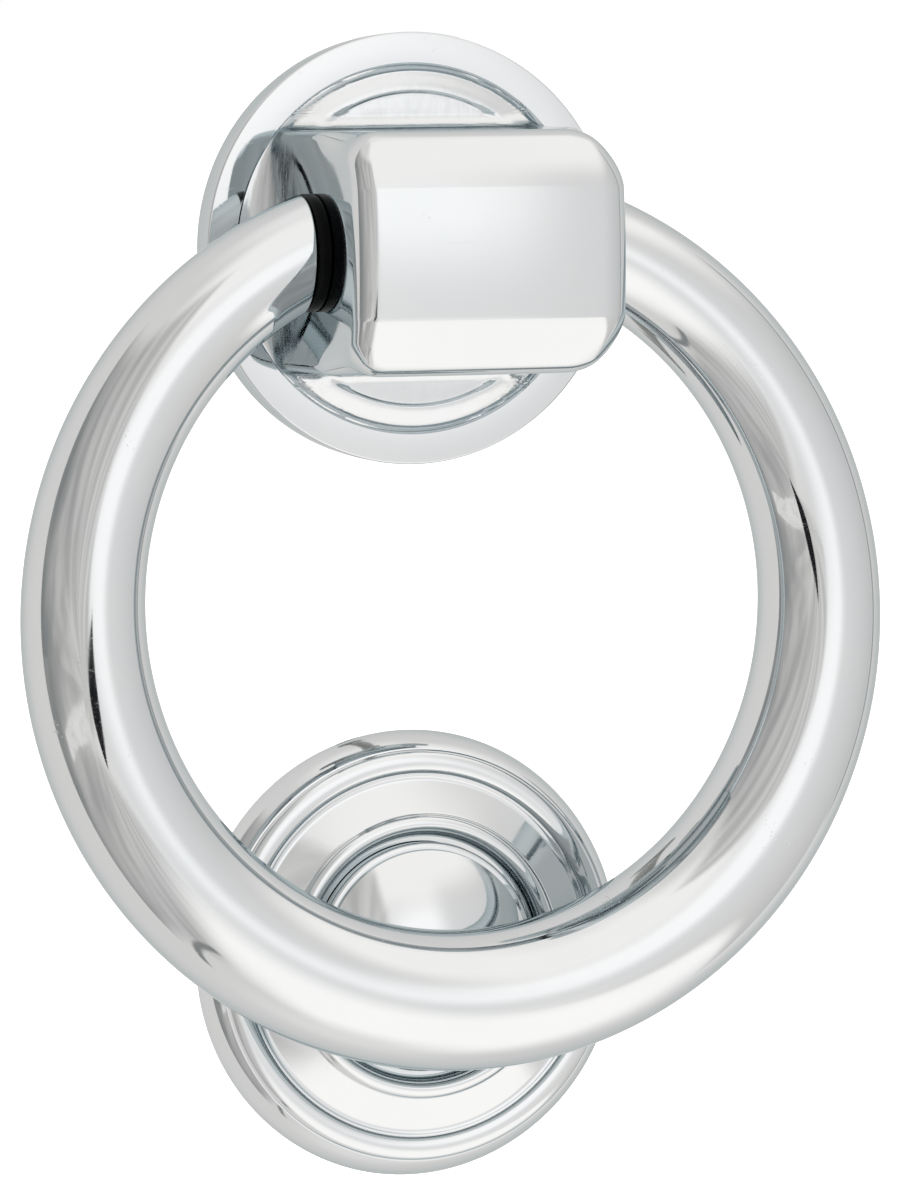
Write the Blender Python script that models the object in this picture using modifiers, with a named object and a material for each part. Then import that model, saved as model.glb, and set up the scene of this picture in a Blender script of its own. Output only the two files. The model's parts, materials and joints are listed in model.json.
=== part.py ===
"""Ring door knocker: a ring hinged to a block on a round rose, and a separate round strike plate.

Frame: metres, +Z up, +X to the right seen from outside. The door's outer face is the plane y = 0 and the
knocker stands out towards -Y. The origin is on the axis of the stud that holds the upper rose.
"Depth" below is the distance out from the door's face, so a point at depth d has y = -d.
"""

import math

import bmesh
import bpy

MM = 0.001
GAP = 0.3 * MM                      # clearance left between pieces that touch

# Upper casting: a round rose with a square-shouldered block standing out of it
ROSE_RADIUS = 25.0 * MM
ROSE_EDGE_TAPER = 0.15 * MM         # the rose is this much smaller at the door
RIM_DEPTH = 4.3 * MM
RIM_CHAMFER = 0.2 * MM
RIM_INNER_RADIUS = 21.5 * MM
COVE_RADIUS = 21.2 * MM
COVE_DEPTH = 3.9 * MM
BEAD_OUTER_RADIUS = 20.5 * MM
BEAD_INNER_RADIUS = 17.9 * MM
BEAD_FOOT_DEPTH = 4.6 * MM
BEAD_CREST_DEPTH = 5.4 * MM
DISC_RADIUS = 17.5 * MM
DISC_DEPTH = 5.0 * MM

BLOCK_HALF_WIDTH = 16.3 * MM
BLOCK_HALF_HEIGHT = 13.9 * MM
BLOCK_DEPTH = 32.6 * MM             # door face to the shoulder of the front face
FRONT_CROWN = 0.4 * MM              # the front face bulges this much at its middle
SIDE_EDGE_RADIUS = 1.8 * MM         # front face to the left and right sides
TOP_EDGE_RADIUS = 6.5 * MM          # front face to the top and bottom
LONG_EDGE_RADIUS = 1.2 * MM         # edges along the block's depth, at the rose
FRONT_CORNER_RADIUS = 4.0 * MM      # the same edges where they reach the front face
SIDE_FLARE_HEIGHT = 5.7 * MM        # concave sweep from the block's sides onto the rose
TOP_FLARE_HEIGHT = 1.7 * MM         # small concave fillet along the block's top and bottom
WALL_ABOVE_FLARE = 1.0 * MM         # the block's section is square from here outwards
FLARE_CHANGE_ANGLES = (38.0, 48.0)  # directions between which one turns into the other, in degrees

# Ring: a torus that thickens towards its bottom, cut off square at the block
RING_RADIUS = 44.85 * MM            # centreline
RING_MEAN_TUBE_RADIUS = 7.13 * MM
RING_TAPER = 0.97 * MM              # tube radius is mean -/+ this at the top and bottom
RING_END_X = 17.9 * MM

# Pivot
PIVOT_DEPTH = 16.4 * MM
PIN_RADIUS = 2.5 * MM
PIN_HALF_LENGTH = 23.2 * MM
PIN_CHAMFER = 0.4 * MM
BUSH_SLEEVE_RADIUS = 4.2 * MM
BUSH_SLEEVE_LENGTH = 9.0 * MM
BUSH_FLANGE_RADIUS = 6.75 * MM
BUSH_FLANGE_CHAMFER = 0.3 * MM
GRUB_RADIUS = 1.5 * MM
GRUB_LENGTH = 2.9 * MM
GRUB_CHAMFER = 0.3 * MM
GRUB_X = 20.6 * MM
GRUB_SOCKET_RADIUS = 0.85 * MM
GRUB_SOCKET_DEPTH = 1.3 * MM

# Strike plate, below the rose
STRIKE_DROP = 82.0 * MM
STRIKE_RADIUS = 26.0 * MM
STRIKE_EDGE = 0.8 * MM              # straight part of the edge, next to the door
STRIKE_OVOLO_RADIUS = 23.7 * MM     # where the rounded edge ends
STRIKE_OVOLO_DEPTH = 3.4 * MM
STRIKE_BEAD_RADII = (23.5 * MM, 21.1 * MM)
STRIKE_BEAD_FOOT = 3.7 * MM
STRIKE_BEAD_HEIGHT = 0.8 * MM
STRIKE_GROOVE_RADIUS = 20.3 * MM
STRIKE_CONE_RADII = (20.1 * MM, 16.7 * MM)
STRIKE_CONE_DEPTHS = (4.1 * MM, 5.5 * MM)
STRIKE_COLLAR_RADII = (16.5 * MM, 14.7 * MM)
STRIKE_COLLAR_HEIGHT = 0.9 * MM
STRIKE_WELL_DEPTH = 2.7 * MM        # floor of the well that the button sits in
STRIKE_WELL_UNDERCUT = 0.2 * MM     # the floor is this much narrower than the collar above it

BUTTON_RADIUS = 13.3 * MM
BUTTON_SHOULDER_DEPTH = 6.5 * MM
BUTTON_DOME_RADIUS = 12.4 * MM      # rim of the dome
BUTTON_DOME_DEPTHS = (7.0 * MM, 10.7 * MM)
BUTTON_DOME_SPREAD = 0.1 * MM       # the dome's foot widens this much down to the shoulder
BUTTON_EDGE_RADIUS = 0.4 * MM

# Fixings: M6 stud through a 44 mm door, washers and a domed nut inside
DOOR_THICKNESS = 44.0 * MM
STUD_RADIUS = 3.0 * MM
STUD_HEAD_DEPTH = 8.0 * MM          # how far the stud reaches into the casting or button
STUD_CHAMFER = 0.6 * MM
STUD_HOLE_EXTRA = 0.5 * MM
WASHER_RADIUS = 6.0 * MM
WASHER_THICKNESS = 1.6 * MM
SPRING_WASHER_RADIUS = 5.6 * MM
SPRING_WASHER_SLIT = 0.8 * MM
SPRING_WASHER_SLANT = 30.0          # degrees that its slit leans
NUT_ACROSS_FLATS = 10.0 * MM
NUT_HEX_HEIGHT = 5.0 * MM
NUT_DOME_RADIUS = 4.7 * MM
NUT_HEIGHT = 11.0 * MM
NUT_THREAD_DEPTH = 8.5 * MM

# Backs of the castings
BACK_RECESS_RADII = (8.0 * MM, 19.5 * MM)
BACK_RECESS_DEPTH = 1.6 * MM
PEG_RADIUS = 1.5 * MM
PEG_OFFSET = 22.2 * MM
PEG_DEPTH = 2.4 * MM                # how far a peg is sunk in the casting
PEG_STAND_OUT = 4.0 * MM            # and how far it reaches into the door
PEG_CHAMFER = 0.4 * MM

# Cutters
CUT_MARGIN = 1.0 * MM               # how far a cutter stands out of what it cuts
BORE_CUT_HALF_LENGTH = 20.0 * MM
RING_CUT_SIZE = (2 * RING_END_X, 30.0 * MM, 40.0 * MM)
RING_CUT_DROP = 5.0 * MM
SLIT_CUT_LENGTH = 8.0 * MM
SLIT_CUT_OFFSET = 4.5 * MM

# Fineness of the facets
LOFT_STEPS = 5                      # in each third of a quarter turn
LOFT_CORNER_SPAN = 4.0              # degrees each side of a corner that the middle third covers
LOFT_EDGE_STEPS = 7
LOFT_FLARE_STEPS = 6
TURN_STEPS = 56
SMALL_TURN_STEPS = 24
RING_POINTS = 70
RING_START_ANGLE = 14.0             # degrees from the top, inside the part that is cut away
RING_BEVEL_RESOLUTION = 9
MOULDING_STEPS = 6                  # in each bead, collar and ovolo
DOME_STEPS = 7
BUTTON_EDGE_STEPS = 3
WELD_DISTANCE = 0.001 * MM
SHARP_ANGLE = 35.0                  # degrees from which an edge is shaded sharp


def clear_scene():
    """Remove the objects of the scene that Blender starts with."""
    for old in list(bpy.data.objects):
        bpy.data.objects.remove(old, do_unlink=True)


def new_collection(name):
    """Make a collection in the scene."""
    collection = bpy.data.collections.new(name)
    bpy.context.scene.collection.children.link(collection)
    return collection


def new_material(name, colour, roughness, metallic):
    """Make a Principled material."""
    made = bpy.data.materials.new(name)
    made.use_nodes = True
    shader = made.node_tree.nodes["Principled BSDF"]
    shader.inputs["Base Color"].default_value = (*colour, 1.0)
    shader.inputs["Roughness"].default_value = roughness
    shader.inputs["Metallic"].default_value = metallic
    made.diffuse_color = (*colour, 1.0)
    return made


def new_object(name, data, collection, finish=None, parent=None):
    """Link an object, give it its material and shade it smooth where it is round."""
    made = bpy.data.objects.new(name, data)
    collection.objects.link(made)
    made.parent = parent
    if finish:
        data.materials.append(finish)
        data.shade_smooth()
        data.set_sharp_from_angle(angle=math.radians(SHARP_ANGLE))
    return made


def as_cutter(cutter):
    """Mark an object as a cutter, which is never part of the model."""
    cutter.hide_render = True
    cutter.display_type = "WIRE"
    return cutter


def boolean(target, tool, operation):
    """Join a tool to a piece or cut the piece with it."""
    modifier = target.modifiers.new(operation.title() + " " + tool.name, "BOOLEAN")
    modifier.operation = operation
    modifier.solver = "EXACT"
    modifier.object = tool


def arc(centre, radii, start, end, steps):
    """Points of an elliptical arc about a centre, from one angle to another in degrees."""
    points = []
    for step in range(steps + 1):
        angle = math.radians(start + (end - start) * step / steps)
        points.append((centre[0] + radii[0] * math.cos(angle), centre[1] + radii[1] * math.sin(angle)))
    return points


# Turned pieces have their axis on local Z. These rotations point that axis out of the door (-Y), into
# it (+Y), or along the pivot to the right (+X) and to the left (-X).
OUTWARD = (math.pi / 2, 0.0, 0.0)
RIGHTWARD = (0.0, math.pi / 2, 0.0)
LEFTWARD = (0.0, -math.pi / 2, 0.0)
INWARD = (-math.pi / 2, 0.0, 0.0)


def turned(name, profile, collection, finish=None, closed=False, steps=TURN_STEPS):
    """Turn a profile of (radius, height) points, which runs down the outer side, about local Z.

    The turn starts half a step round, so that no facet's edge lies in a plane of symmetry.
    """
    mesh = bpy.data.meshes.new(name)
    start = math.pi / steps
    vertices = [(radius * math.cos(start), radius * math.sin(start), height) for radius, height in profile]
    edges = [(index, index + 1) for index in range(len(profile) - 1)]
    if closed:
        edges.append((len(profile) - 1, 0))
    mesh.from_pydata(vertices, edges, [])
    made = new_object(name, mesh, collection, finish)
    screw = made.modifiers.new("Turn", "SCREW")
    screw.axis = "Z"
    screw.angle = math.tau
    screw.steps = steps
    screw.render_steps = steps
    screw.use_merge_vertices = True
    screw.merge_threshold = 0.00001
    screw.use_smooth_shade = True
    return made


def rod_profile(radius, top, bottom, chamfer=0.0):
    """Profile of a plain rod, with its ends chamfered if asked."""
    profile = [(0.0, top)]
    if chamfer:
        profile += [(radius - chamfer, top), (radius, top - chamfer)]
        profile += [(radius, bottom + chamfer), (radius - chamfer, bottom)]
    else:
        profile += [(radius, top), (radius, bottom)]
    return profile + [(0.0, bottom)]


def tube_profile(inner, outer, top, bottom):
    """Closed profile of a plain tube."""
    return [(inner, top), (outer, top), (outer, bottom), (inner, bottom)]


def rod(name, radius, top, bottom, collection, finish=None, chamfer=0.0):
    """A turned rod between two heights on its axis."""
    profile = rod_profile(radius, top, bottom, chamfer)
    return turned(name, profile, collection, finish, steps=SMALL_TURN_STEPS)


def cutting_rod(name, radius, top, bottom):
    """A rod used as a cutter."""
    return as_cutter(rod(name, radius, top, bottom, CUTTERS))


def cutting_box(name, size, centre):
    """A box used as a cutter."""
    mesh = bpy.data.meshes.new(name)
    box = bmesh.new()
    bmesh.ops.create_cube(box, size=1.0)
    bmesh.ops.scale(box, vec=size, verts=box.verts)
    box.to_mesh(mesh)
    box.free()
    made = as_cutter(new_object(name, mesh, CUTTERS))
    made.location = centre
    return made


def hexagonal_prism(name, across_flats, top, bottom, collection):
    """A six-sided prism about local Z."""
    mesh = bpy.data.meshes.new(name)
    prism = bmesh.new()
    corner_radius = across_flats / 2 / math.cos(math.pi / 6)
    bmesh.ops.create_cone(prism, cap_ends=True, segments=6, radius1=corner_radius,
                          radius2=corner_radius, depth=top - bottom)
    bmesh.ops.translate(prism, vec=(0.0, 0.0, (top + bottom) / 2), verts=prism.verts)
    prism.to_mesh(mesh)
    prism.free()
    return new_object(name, mesh, collection)


# ---------------------------------------------------------------- upper casting

def smooth_step(value, low, high):
    """Rise smoothly from 0 at low to 1 at high."""
    share = min(max((value - low) / (high - low), 0.0), 1.0)
    return share * share * (3 - 2 * share)


def rounded_rectangle_reach(angle, half_width, half_height, corner):
    """Distance from the centre of a rounded rectangle to its outline, in one direction."""
    across = abs(math.cos(angle))
    up = abs(math.sin(angle))
    centre_x = half_width - corner
    centre_z = half_height - corner
    if half_width * up <= centre_z * across:
        return half_width / across
    if half_height * across <= centre_x * up:
        return half_height / up
    along = across * centre_x + up * centre_z
    return along + math.sqrt(along ** 2 - centre_x ** 2 - centre_z ** 2 + corner ** 2)


def rose_depth(radius):
    """Depth of the rose's moulded face at a radius."""
    if radius >= RIM_INNER_RADIUS:
        return RIM_DEPTH
    if radius > COVE_RADIUS:
        share = (radius - COVE_RADIUS) / (RIM_INNER_RADIUS - COVE_RADIUS)
        return COVE_DEPTH + (RIM_DEPTH - COVE_DEPTH) * share
    if radius > BEAD_OUTER_RADIUS:
        share = (COVE_RADIUS - radius) / (COVE_RADIUS - BEAD_OUTER_RADIUS)
        return COVE_DEPTH + (BEAD_FOOT_DEPTH - COVE_DEPTH) * share ** 2
    if radius > BEAD_INNER_RADIUS:
        middle = (BEAD_OUTER_RADIUS + BEAD_INNER_RADIUS) / 2
        share = (radius - middle) / (BEAD_OUTER_RADIUS - middle)
        return BEAD_FOOT_DEPTH + (BEAD_CREST_DEPTH - BEAD_FOOT_DEPTH) * math.sqrt(1 - share ** 2)
    if radius > DISC_RADIUS:
        share = (BEAD_INNER_RADIUS - radius) / (BEAD_INNER_RADIUS - DISC_RADIUS)
        return BEAD_FOOT_DEPTH + (DISC_DEPTH - BEAD_FOOT_DEPTH) * share
    return DISC_DEPTH


def loft_angles():
    """Directions of the loft's lengthwise lines, closest together at the block's corners."""
    corner = math.degrees(math.atan2(BLOCK_HALF_HEIGHT, BLOCK_HALF_WIDTH))
    low_end, high_end = corner - LOFT_CORNER_SPAN, corner + LOFT_CORNER_SPAN
    spans = ((0.0, low_end), (low_end, high_end), (high_end, 90.0))
    quarter = []
    for low, high in spans:
        quarter += [low + (high - low) * step / LOFT_STEPS for step in range(LOFT_STEPS)]
    half = quarter + [90.0] + [180.0 - angle for angle in reversed(quarter[1:])]
    return [math.radians(turn + angle) for turn in (0.0, 180.0) for angle in half]


def block_section(angle, depth):
    """Reach of the block's outline at one depth, including the rounding of its front edges."""
    past_side = max(0.0, depth - (BLOCK_DEPTH - SIDE_EDGE_RADIUS))
    past_top = max(0.0, depth - (BLOCK_DEPTH - TOP_EDGE_RADIUS))
    side_left = math.sqrt(max(0.0, SIDE_EDGE_RADIUS ** 2 - past_side ** 2))
    top_left = math.sqrt(max(0.0, TOP_EDGE_RADIUS ** 2 - past_top ** 2))
    half_width = BLOCK_HALF_WIDTH - SIDE_EDGE_RADIUS + side_left
    half_height = BLOCK_HALF_HEIGHT - TOP_EDGE_RADIUS + top_left
    share = smooth_step(depth, BLOCK_DEPTH / 2, BLOCK_DEPTH)
    corner = LONG_EDGE_RADIUS + (FRONT_CORNER_RADIUS - LONG_EDGE_RADIUS) * share
    return rounded_rectangle_reach(angle, half_width, half_height, corner)


def flare_section(angle, sweep):
    """Reach and depth of the concave sweep from block to rose, at a sweep of 0 to 90 degrees."""
    start = rounded_rectangle_reach(angle, BLOCK_HALF_WIDTH, BLOCK_HALF_HEIGHT, LONG_EDGE_RADIUS)
    foot_height = BLOCK_HALF_HEIGHT + TOP_FLARE_HEIGHT
    end = min(COVE_RADIUS, foot_height / max(abs(math.sin(angle)), 0.01))
    reach = start + (end - start) * (1 - math.cos(sweep))
    slope = math.degrees(math.asin(abs(math.sin(angle))))
    topness = smooth_step(slope, *FLARE_CHANGE_ANGLES)
    height = SIDE_FLARE_HEIGHT + (TOP_FLARE_HEIGHT - SIDE_FLARE_HEIGHT) * topness
    foot = rose_depth(end) + (rose_depth(reach) - rose_depth(end)) * topness
    return reach, foot + height * (1 - math.sin(sweep))


def casting_rows(angles):
    """Rows of (reach, depth) points from the front face back to the door, one point a direction."""
    rows = []
    for share in (0.3, 0.6, 0.85):
        depth = BLOCK_DEPTH + FRONT_CROWN * (1 - share ** 2) ** 2
        rows.append([(share * block_section(angle, BLOCK_DEPTH), depth) for angle in angles])
    for step in range(LOFT_EDGE_STEPS + 1):
        turn = math.pi / 2 * (1 - step / LOFT_EDGE_STEPS)
        depth = BLOCK_DEPTH - TOP_EDGE_RADIUS * (1 - math.sin(turn))
        rows.append([(block_section(angle, depth), depth) for angle in angles])
    wall_foot = RIM_DEPTH + SIDE_FLARE_HEIGHT + WALL_ABOVE_FLARE
    rows.append([(block_section(angle, wall_foot), wall_foot) for angle in angles])
    for step in range(LOFT_FLARE_STEPS + 1):
        sweep = math.pi / 2 * step / LOFT_FLARE_STEPS
        rows.append([flare_section(angle, sweep) for angle in angles])
    bead_middle = (BEAD_OUTER_RADIUS + BEAD_INNER_RADIUS) / 2
    bead = arc((bead_middle, 0.0), (BEAD_OUTER_RADIUS - bead_middle, 0.0), 180, 0, MOULDING_STEPS)
    rings = [DISC_RADIUS] + [radius for radius, _ in bead] + [COVE_RADIUS, RIM_INNER_RADIUS]
    for step, ring in enumerate(rings, start=1):
        row = []
        for angle in angles:
            end = flare_section(angle, math.pi / 2)[0]
            reach = max(ring, end + (RIM_INNER_RADIUS - end) * step / len(rings))
            row.append((reach, rose_depth(reach)))
        rows.append(row)
    edge = RIM_CHAMFER
    for radius, depth in ((ROSE_RADIUS - edge, RIM_DEPTH), (ROSE_RADIUS, RIM_DEPTH - edge),
                          (ROSE_RADIUS - ROSE_EDGE_TAPER, 0.0)):
        rows.append([(radius, depth) for _ in angles])
    return rows


def lofted_casting(name, finish):
    """The upper casting as one loft: crowned front, square block, flared foot and round rose."""
    angles = loft_angles()
    count = len(angles)
    loft = bmesh.new()
    front = loft.verts.new((0.0, -(BLOCK_DEPTH + FRONT_CROWN), 0.0))
    rings = []
    for row in casting_rows(angles):
        points = zip(angles, row)
        rings.append([loft.verts.new((reach * math.cos(angle), -depth, reach * math.sin(angle)))
                      for angle, (reach, depth) in points])
    for index in range(count):
        following = (index + 1) % count
        loft.faces.new((front, rings[0][index], rings[0][following]))
        for inner, outer in zip(rings, rings[1:]):
            loft.faces.new((inner[index], outer[index], outer[following], inner[following]))
    loft.faces.new(rings[-1])
    bmesh.ops.remove_doubles(loft, verts=loft.verts, dist=WELD_DISTANCE)
    bmesh.ops.recalc_face_normals(loft, faces=loft.faces)
    mesh = bpy.data.meshes.new(name)
    loft.to_mesh(mesh)
    loft.free()
    return new_object(name, mesh, PARTS, finish)


def build_body():
    """The upper casting with its pivot bore, stud hole, peg holes and hollowed back."""
    body = lofted_casting("knocker_body", CHROME)
    bore = cutting_rod("pivot_bore", BUSH_SLEEVE_RADIUS + GAP, BORE_CUT_HALF_LENGTH, -BORE_CUT_HALF_LENGTH)
    bore.location = (0.0, -PIVOT_DEPTH, 0.0)
    bore.rotation_euler = RIGHTWARD
    stud_hole = cutting_rod("stud_hole", STUD_RADIUS + GAP, STUD_HEAD_DEPTH + STUD_HOLE_EXTRA,
                            -CUT_MARGIN)
    stud_hole.rotation_euler = OUTWARD
    inner, outer = BACK_RECESS_RADII
    recess = as_cutter(turned("back_recess", tube_profile(inner, outer, BACK_RECESS_DEPTH, -CUT_MARGIN),
                              CUTTERS, closed=True))
    recess.rotation_euler = OUTWARD
    for cutter in (bore, stud_hole, recess):
        boolean(body, cutter, "DIFFERENCE")
    for side, label in ((1, "upper"), (-1, "lower")):
        hole = cutting_rod("peg_hole_" + label, PEG_RADIUS + GAP, PEG_DEPTH + GAP, -CUT_MARGIN)
        hole.location = (0.0, 0.0, side * PEG_OFFSET)
        hole.rotation_euler = OUTWARD
        boolean(body, hole, "DIFFERENCE")
        peg = rod("locating_peg_" + label, PEG_RADIUS, PEG_DEPTH, -PEG_STAND_OUT, PARTS, STEEL,
                  chamfer=PEG_CHAMFER)
        peg.location = hole.location
        peg.rotation_euler = OUTWARD


# ---------------------------------------------------------------- pivot and ring

def build_bushes():
    """A flanged nylon bush in each end of the block's bore."""
    ring_space = RING_END_X - BLOCK_HALF_WIDTH
    bore = PIN_RADIUS + GAP
    lip = BUSH_FLANGE_CHAMFER
    outer = BUSH_FLANGE_RADIUS
    top = ring_space - GAP
    profile = [(bore, top), (outer - lip, top), (outer, top - lip), (outer, GAP + lip),
               (outer - lip, GAP), (BUSH_SLEEVE_RADIUS, GAP), (BUSH_SLEEVE_RADIUS, -BUSH_SLEEVE_LENGTH),
               (bore, -BUSH_SLEEVE_LENGTH)]
    for side, label, rotation in ((1, "right", RIGHTWARD), (-1, "left", LEFTWARD)):
        bush = turned("bush_" + label, profile, PARTS, NYLON, closed=True, steps=SMALL_TURN_STEPS * 2)
        bush.location = (side * BLOCK_HALF_WIDTH, -PIVOT_DEPTH, 0.0)
        bush.rotation_euler = rotation


def ring_drop():
    """How far the ring's centre lies below the pivot, so that the pin meets the tube's middle."""
    return math.sqrt(RING_RADIUS ** 2 - RING_END_X ** 2)


def dome_sphere():
    """Radius of the sphere that the button's dome is part of, and the depth of its centre."""
    low, high = BUTTON_DOME_DEPTHS
    rise = high - low
    radius = (BUTTON_DOME_RADIUS ** 2 + rise ** 2) / (2 * rise)
    return radius, high - radius


def rest_tilt():
    """Angle that the ring hangs forward of straight down, where its tube rests on the button."""
    sphere_radius, sphere_depth = dome_sphere()
    hang = ring_drop() + RING_RADIUS
    back = PIVOT_DEPTH - sphere_depth
    to_sphere = math.hypot(STRIKE_DROP, back)
    contact = sphere_radius + RING_MEAN_TUBE_RADIUS + RING_TAPER + GAP
    apart = math.acos((to_sphere ** 2 + hang ** 2 - contact ** 2) / (2 * to_sphere * hang))
    return apart - math.atan2(back, STRIKE_DROP)


def tapered_ring_curve():
    """The ring's tube as a curve, thicker at the bottom, running a little past both cut ends."""
    curve = bpy.data.curves.new("ring_tube", "CURVE")
    curve.dimensions = "3D"
    curve.bevel_depth = RING_MEAN_TUBE_RADIUS
    curve.bevel_resolution = RING_BEVEL_RESOLUTION
    curve.use_fill_caps = True
    spline = curve.splines.new("POLY")
    spline.points.add(RING_POINTS - 1)
    first = math.radians(RING_START_ANGLE)
    for index, point in enumerate(spline.points):
        angle = first + (math.tau - 2 * first) * index / (RING_POINTS - 1)
        x = RING_RADIUS * math.sin(angle)
        z = RING_RADIUS * math.cos(angle) - ring_drop()
        point.co = (x, 0.0, z, 1.0)
        tube_radius = RING_MEAN_TUBE_RADIUS - RING_TAPER * math.cos(angle)
        point.radius = tube_radius / RING_MEAN_TUBE_RADIUS
    return curve


def curve_to_mesh(curve, name):
    """Turn a curve into a mesh and weld its end caps."""
    holder = bpy.data.objects.new(name + "_curve", curve)
    CUTTERS.objects.link(holder)
    graph = bpy.context.evaluated_depsgraph_get()
    mesh = bpy.data.meshes.new_from_object(holder.evaluated_get(graph))
    mesh.name = name
    bpy.data.objects.remove(holder, do_unlink=True)
    weld = bmesh.new()
    weld.from_mesh(mesh)
    bmesh.ops.remove_doubles(weld, verts=weld.verts, dist=WELD_DISTANCE)
    bmesh.ops.recalc_face_normals(weld, faces=weld.faces)
    weld.to_mesh(mesh)
    weld.free()
    return mesh


def build_ring():
    """The ring, its pivot pin and the two grub screws that lock them together."""
    hinge = bpy.data.objects.new("ring_hinge", None)
    PARTS.objects.link(hinge)
    hinge.location = (0.0, -PIVOT_DEPTH, 0.0)
    hinge.rotation_euler = (-rest_tilt(), 0.0, 0.0)

    mesh = curve_to_mesh(tapered_ring_curve(), "knocker_ring")
    mesh.materials.clear()
    ring = new_object("knocker_ring", mesh, PARTS, CHROME, hinge)
    gap_box = cutting_box("ring_gap", RING_CUT_SIZE, (0.0, 0.0, -RING_CUT_DROP))
    bore_end = PIN_HALF_LENGTH + GAP
    bore = cutting_rod("ring_bore", PIN_RADIUS + GAP, bore_end, -bore_end)
    bore.rotation_euler = RIGHTWARD
    for cutter in (gap_box, bore):
        cutter.parent = hinge
        boolean(ring, cutter, "DIFFERENCE")

    pin = rod("pivot_pin", PIN_RADIUS, PIN_HALF_LENGTH, -PIN_HALF_LENGTH, PARTS, STEEL,
              chamfer=PIN_CHAMFER)
    pin.parent = hinge
    pin.rotation_euler = RIGHTWARD

    grub_start = PIN_RADIUS + GAP
    grub_end = grub_start + GRUB_LENGTH
    socket_size = 2 * GRUB_SOCKET_RADIUS * math.cos(math.pi / 6)
    for side, label in ((1, "right"), (-1, "left")):
        place = (side * GRUB_X, 0.0, 0.0)
        hole = cutting_rod("grub_hole_" + label, GRUB_RADIUS + GAP, 2 * grub_end, 0.0)
        grub = rod("ring_grub_screw_" + label, GRUB_RADIUS, grub_end, grub_start, PARTS, DARK_STEEL,
                   chamfer=GRUB_CHAMFER)
        socket = as_cutter(hexagonal_prism("grub_socket_" + label, socket_size, 2 * grub_end,
                                           grub_end - GRUB_SOCKET_DEPTH, CUTTERS))
        for piece in (hole, grub, socket):
            piece.parent = hinge
            piece.location = place
            piece.rotation_euler = INWARD
        boolean(ring, hole, "DIFFERENCE")
        boolean(grub, socket, "DIFFERENCE")


# ---------------------------------------------------------------- strike plate

def build_strike():
    """The strike plate and the domed button in its well."""
    hole = STUD_RADIUS + GAP
    collar_inner, collar_outer = STRIKE_COLLAR_RADII[1], STRIKE_COLLAR_RADII[0]
    collar_radius = (collar_outer - collar_inner) / 2
    collar = arc((collar_inner + collar_radius, STRIKE_CONE_DEPTHS[1]),
                 (collar_radius, STRIKE_COLLAR_HEIGHT), 180, 0, MOULDING_STEPS)
    bead_outer, bead_inner = STRIKE_BEAD_RADII
    bead_radius = (bead_outer - bead_inner) / 2
    bead = arc((bead_inner + bead_radius, STRIKE_BEAD_FOOT), (bead_radius, STRIKE_BEAD_HEIGHT), 180, 0,
               MOULDING_STEPS)
    ovolo_size = (STRIKE_RADIUS - STRIKE_OVOLO_RADIUS, STRIKE_OVOLO_DEPTH - STRIKE_EDGE)
    ovolo = arc((STRIKE_OVOLO_RADIUS, STRIKE_EDGE), ovolo_size, 90, 0, MOULDING_STEPS)
    recess_inner, recess_outer = BACK_RECESS_RADII
    profile = [(hole, STRIKE_WELL_DEPTH), (collar_inner - STRIKE_WELL_UNDERCUT, STRIKE_WELL_DEPTH)]
    profile += collar
    profile += [(STRIKE_CONE_RADII[1], STRIKE_CONE_DEPTHS[1]), (STRIKE_CONE_RADII[0], STRIKE_CONE_DEPTHS[0])]
    profile += [(STRIKE_GROOVE_RADIUS, STRIKE_BEAD_FOOT)]
    profile += bead + ovolo
    profile += [(STRIKE_RADIUS, 0.0), (recess_outer, 0.0), (recess_outer, BACK_RECESS_DEPTH),
                (recess_inner, BACK_RECESS_DEPTH), (recess_inner, 0.0), (hole, 0.0)]
    plate = turned("strike_plate", profile, PARTS, CHROME, closed=True)

    sphere_radius, sphere_depth = dome_sphere()
    rim_angle = math.degrees(math.acos(BUTTON_DOME_RADIUS / sphere_radius))
    dome = arc((0.0, sphere_depth), (sphere_radius, sphere_radius), 90, rim_angle, DOME_STEPS)
    edge = BUTTON_EDGE_RADIUS
    edge_centre = (BUTTON_RADIUS - edge, BUTTON_SHOULDER_DEPTH - edge)
    shoulder = arc(edge_centre, (edge, edge), 90, 0, BUTTON_EDGE_STEPS)
    base = STRIKE_WELL_DEPTH + GAP
    hole_end = STUD_HEAD_DEPTH + STUD_HOLE_EXTRA
    profile = [(0.0, BUTTON_DOME_DEPTHS[1])] + dome[1:]
    profile += [(BUTTON_DOME_RADIUS + BUTTON_DOME_SPREAD, BUTTON_SHOULDER_DEPTH)] + shoulder
    profile += [(BUTTON_RADIUS, base), (hole, base), (hole, hole_end), (0.0, hole_end)]
    button = turned("strike_button", profile, PARTS, CHROME)
    for piece in (plate, button):
        piece.location = (0.0, 0.0, -STRIKE_DROP)
        piece.rotation_euler = OUTWARD


# ---------------------------------------------------------------- fixings through the door

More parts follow.
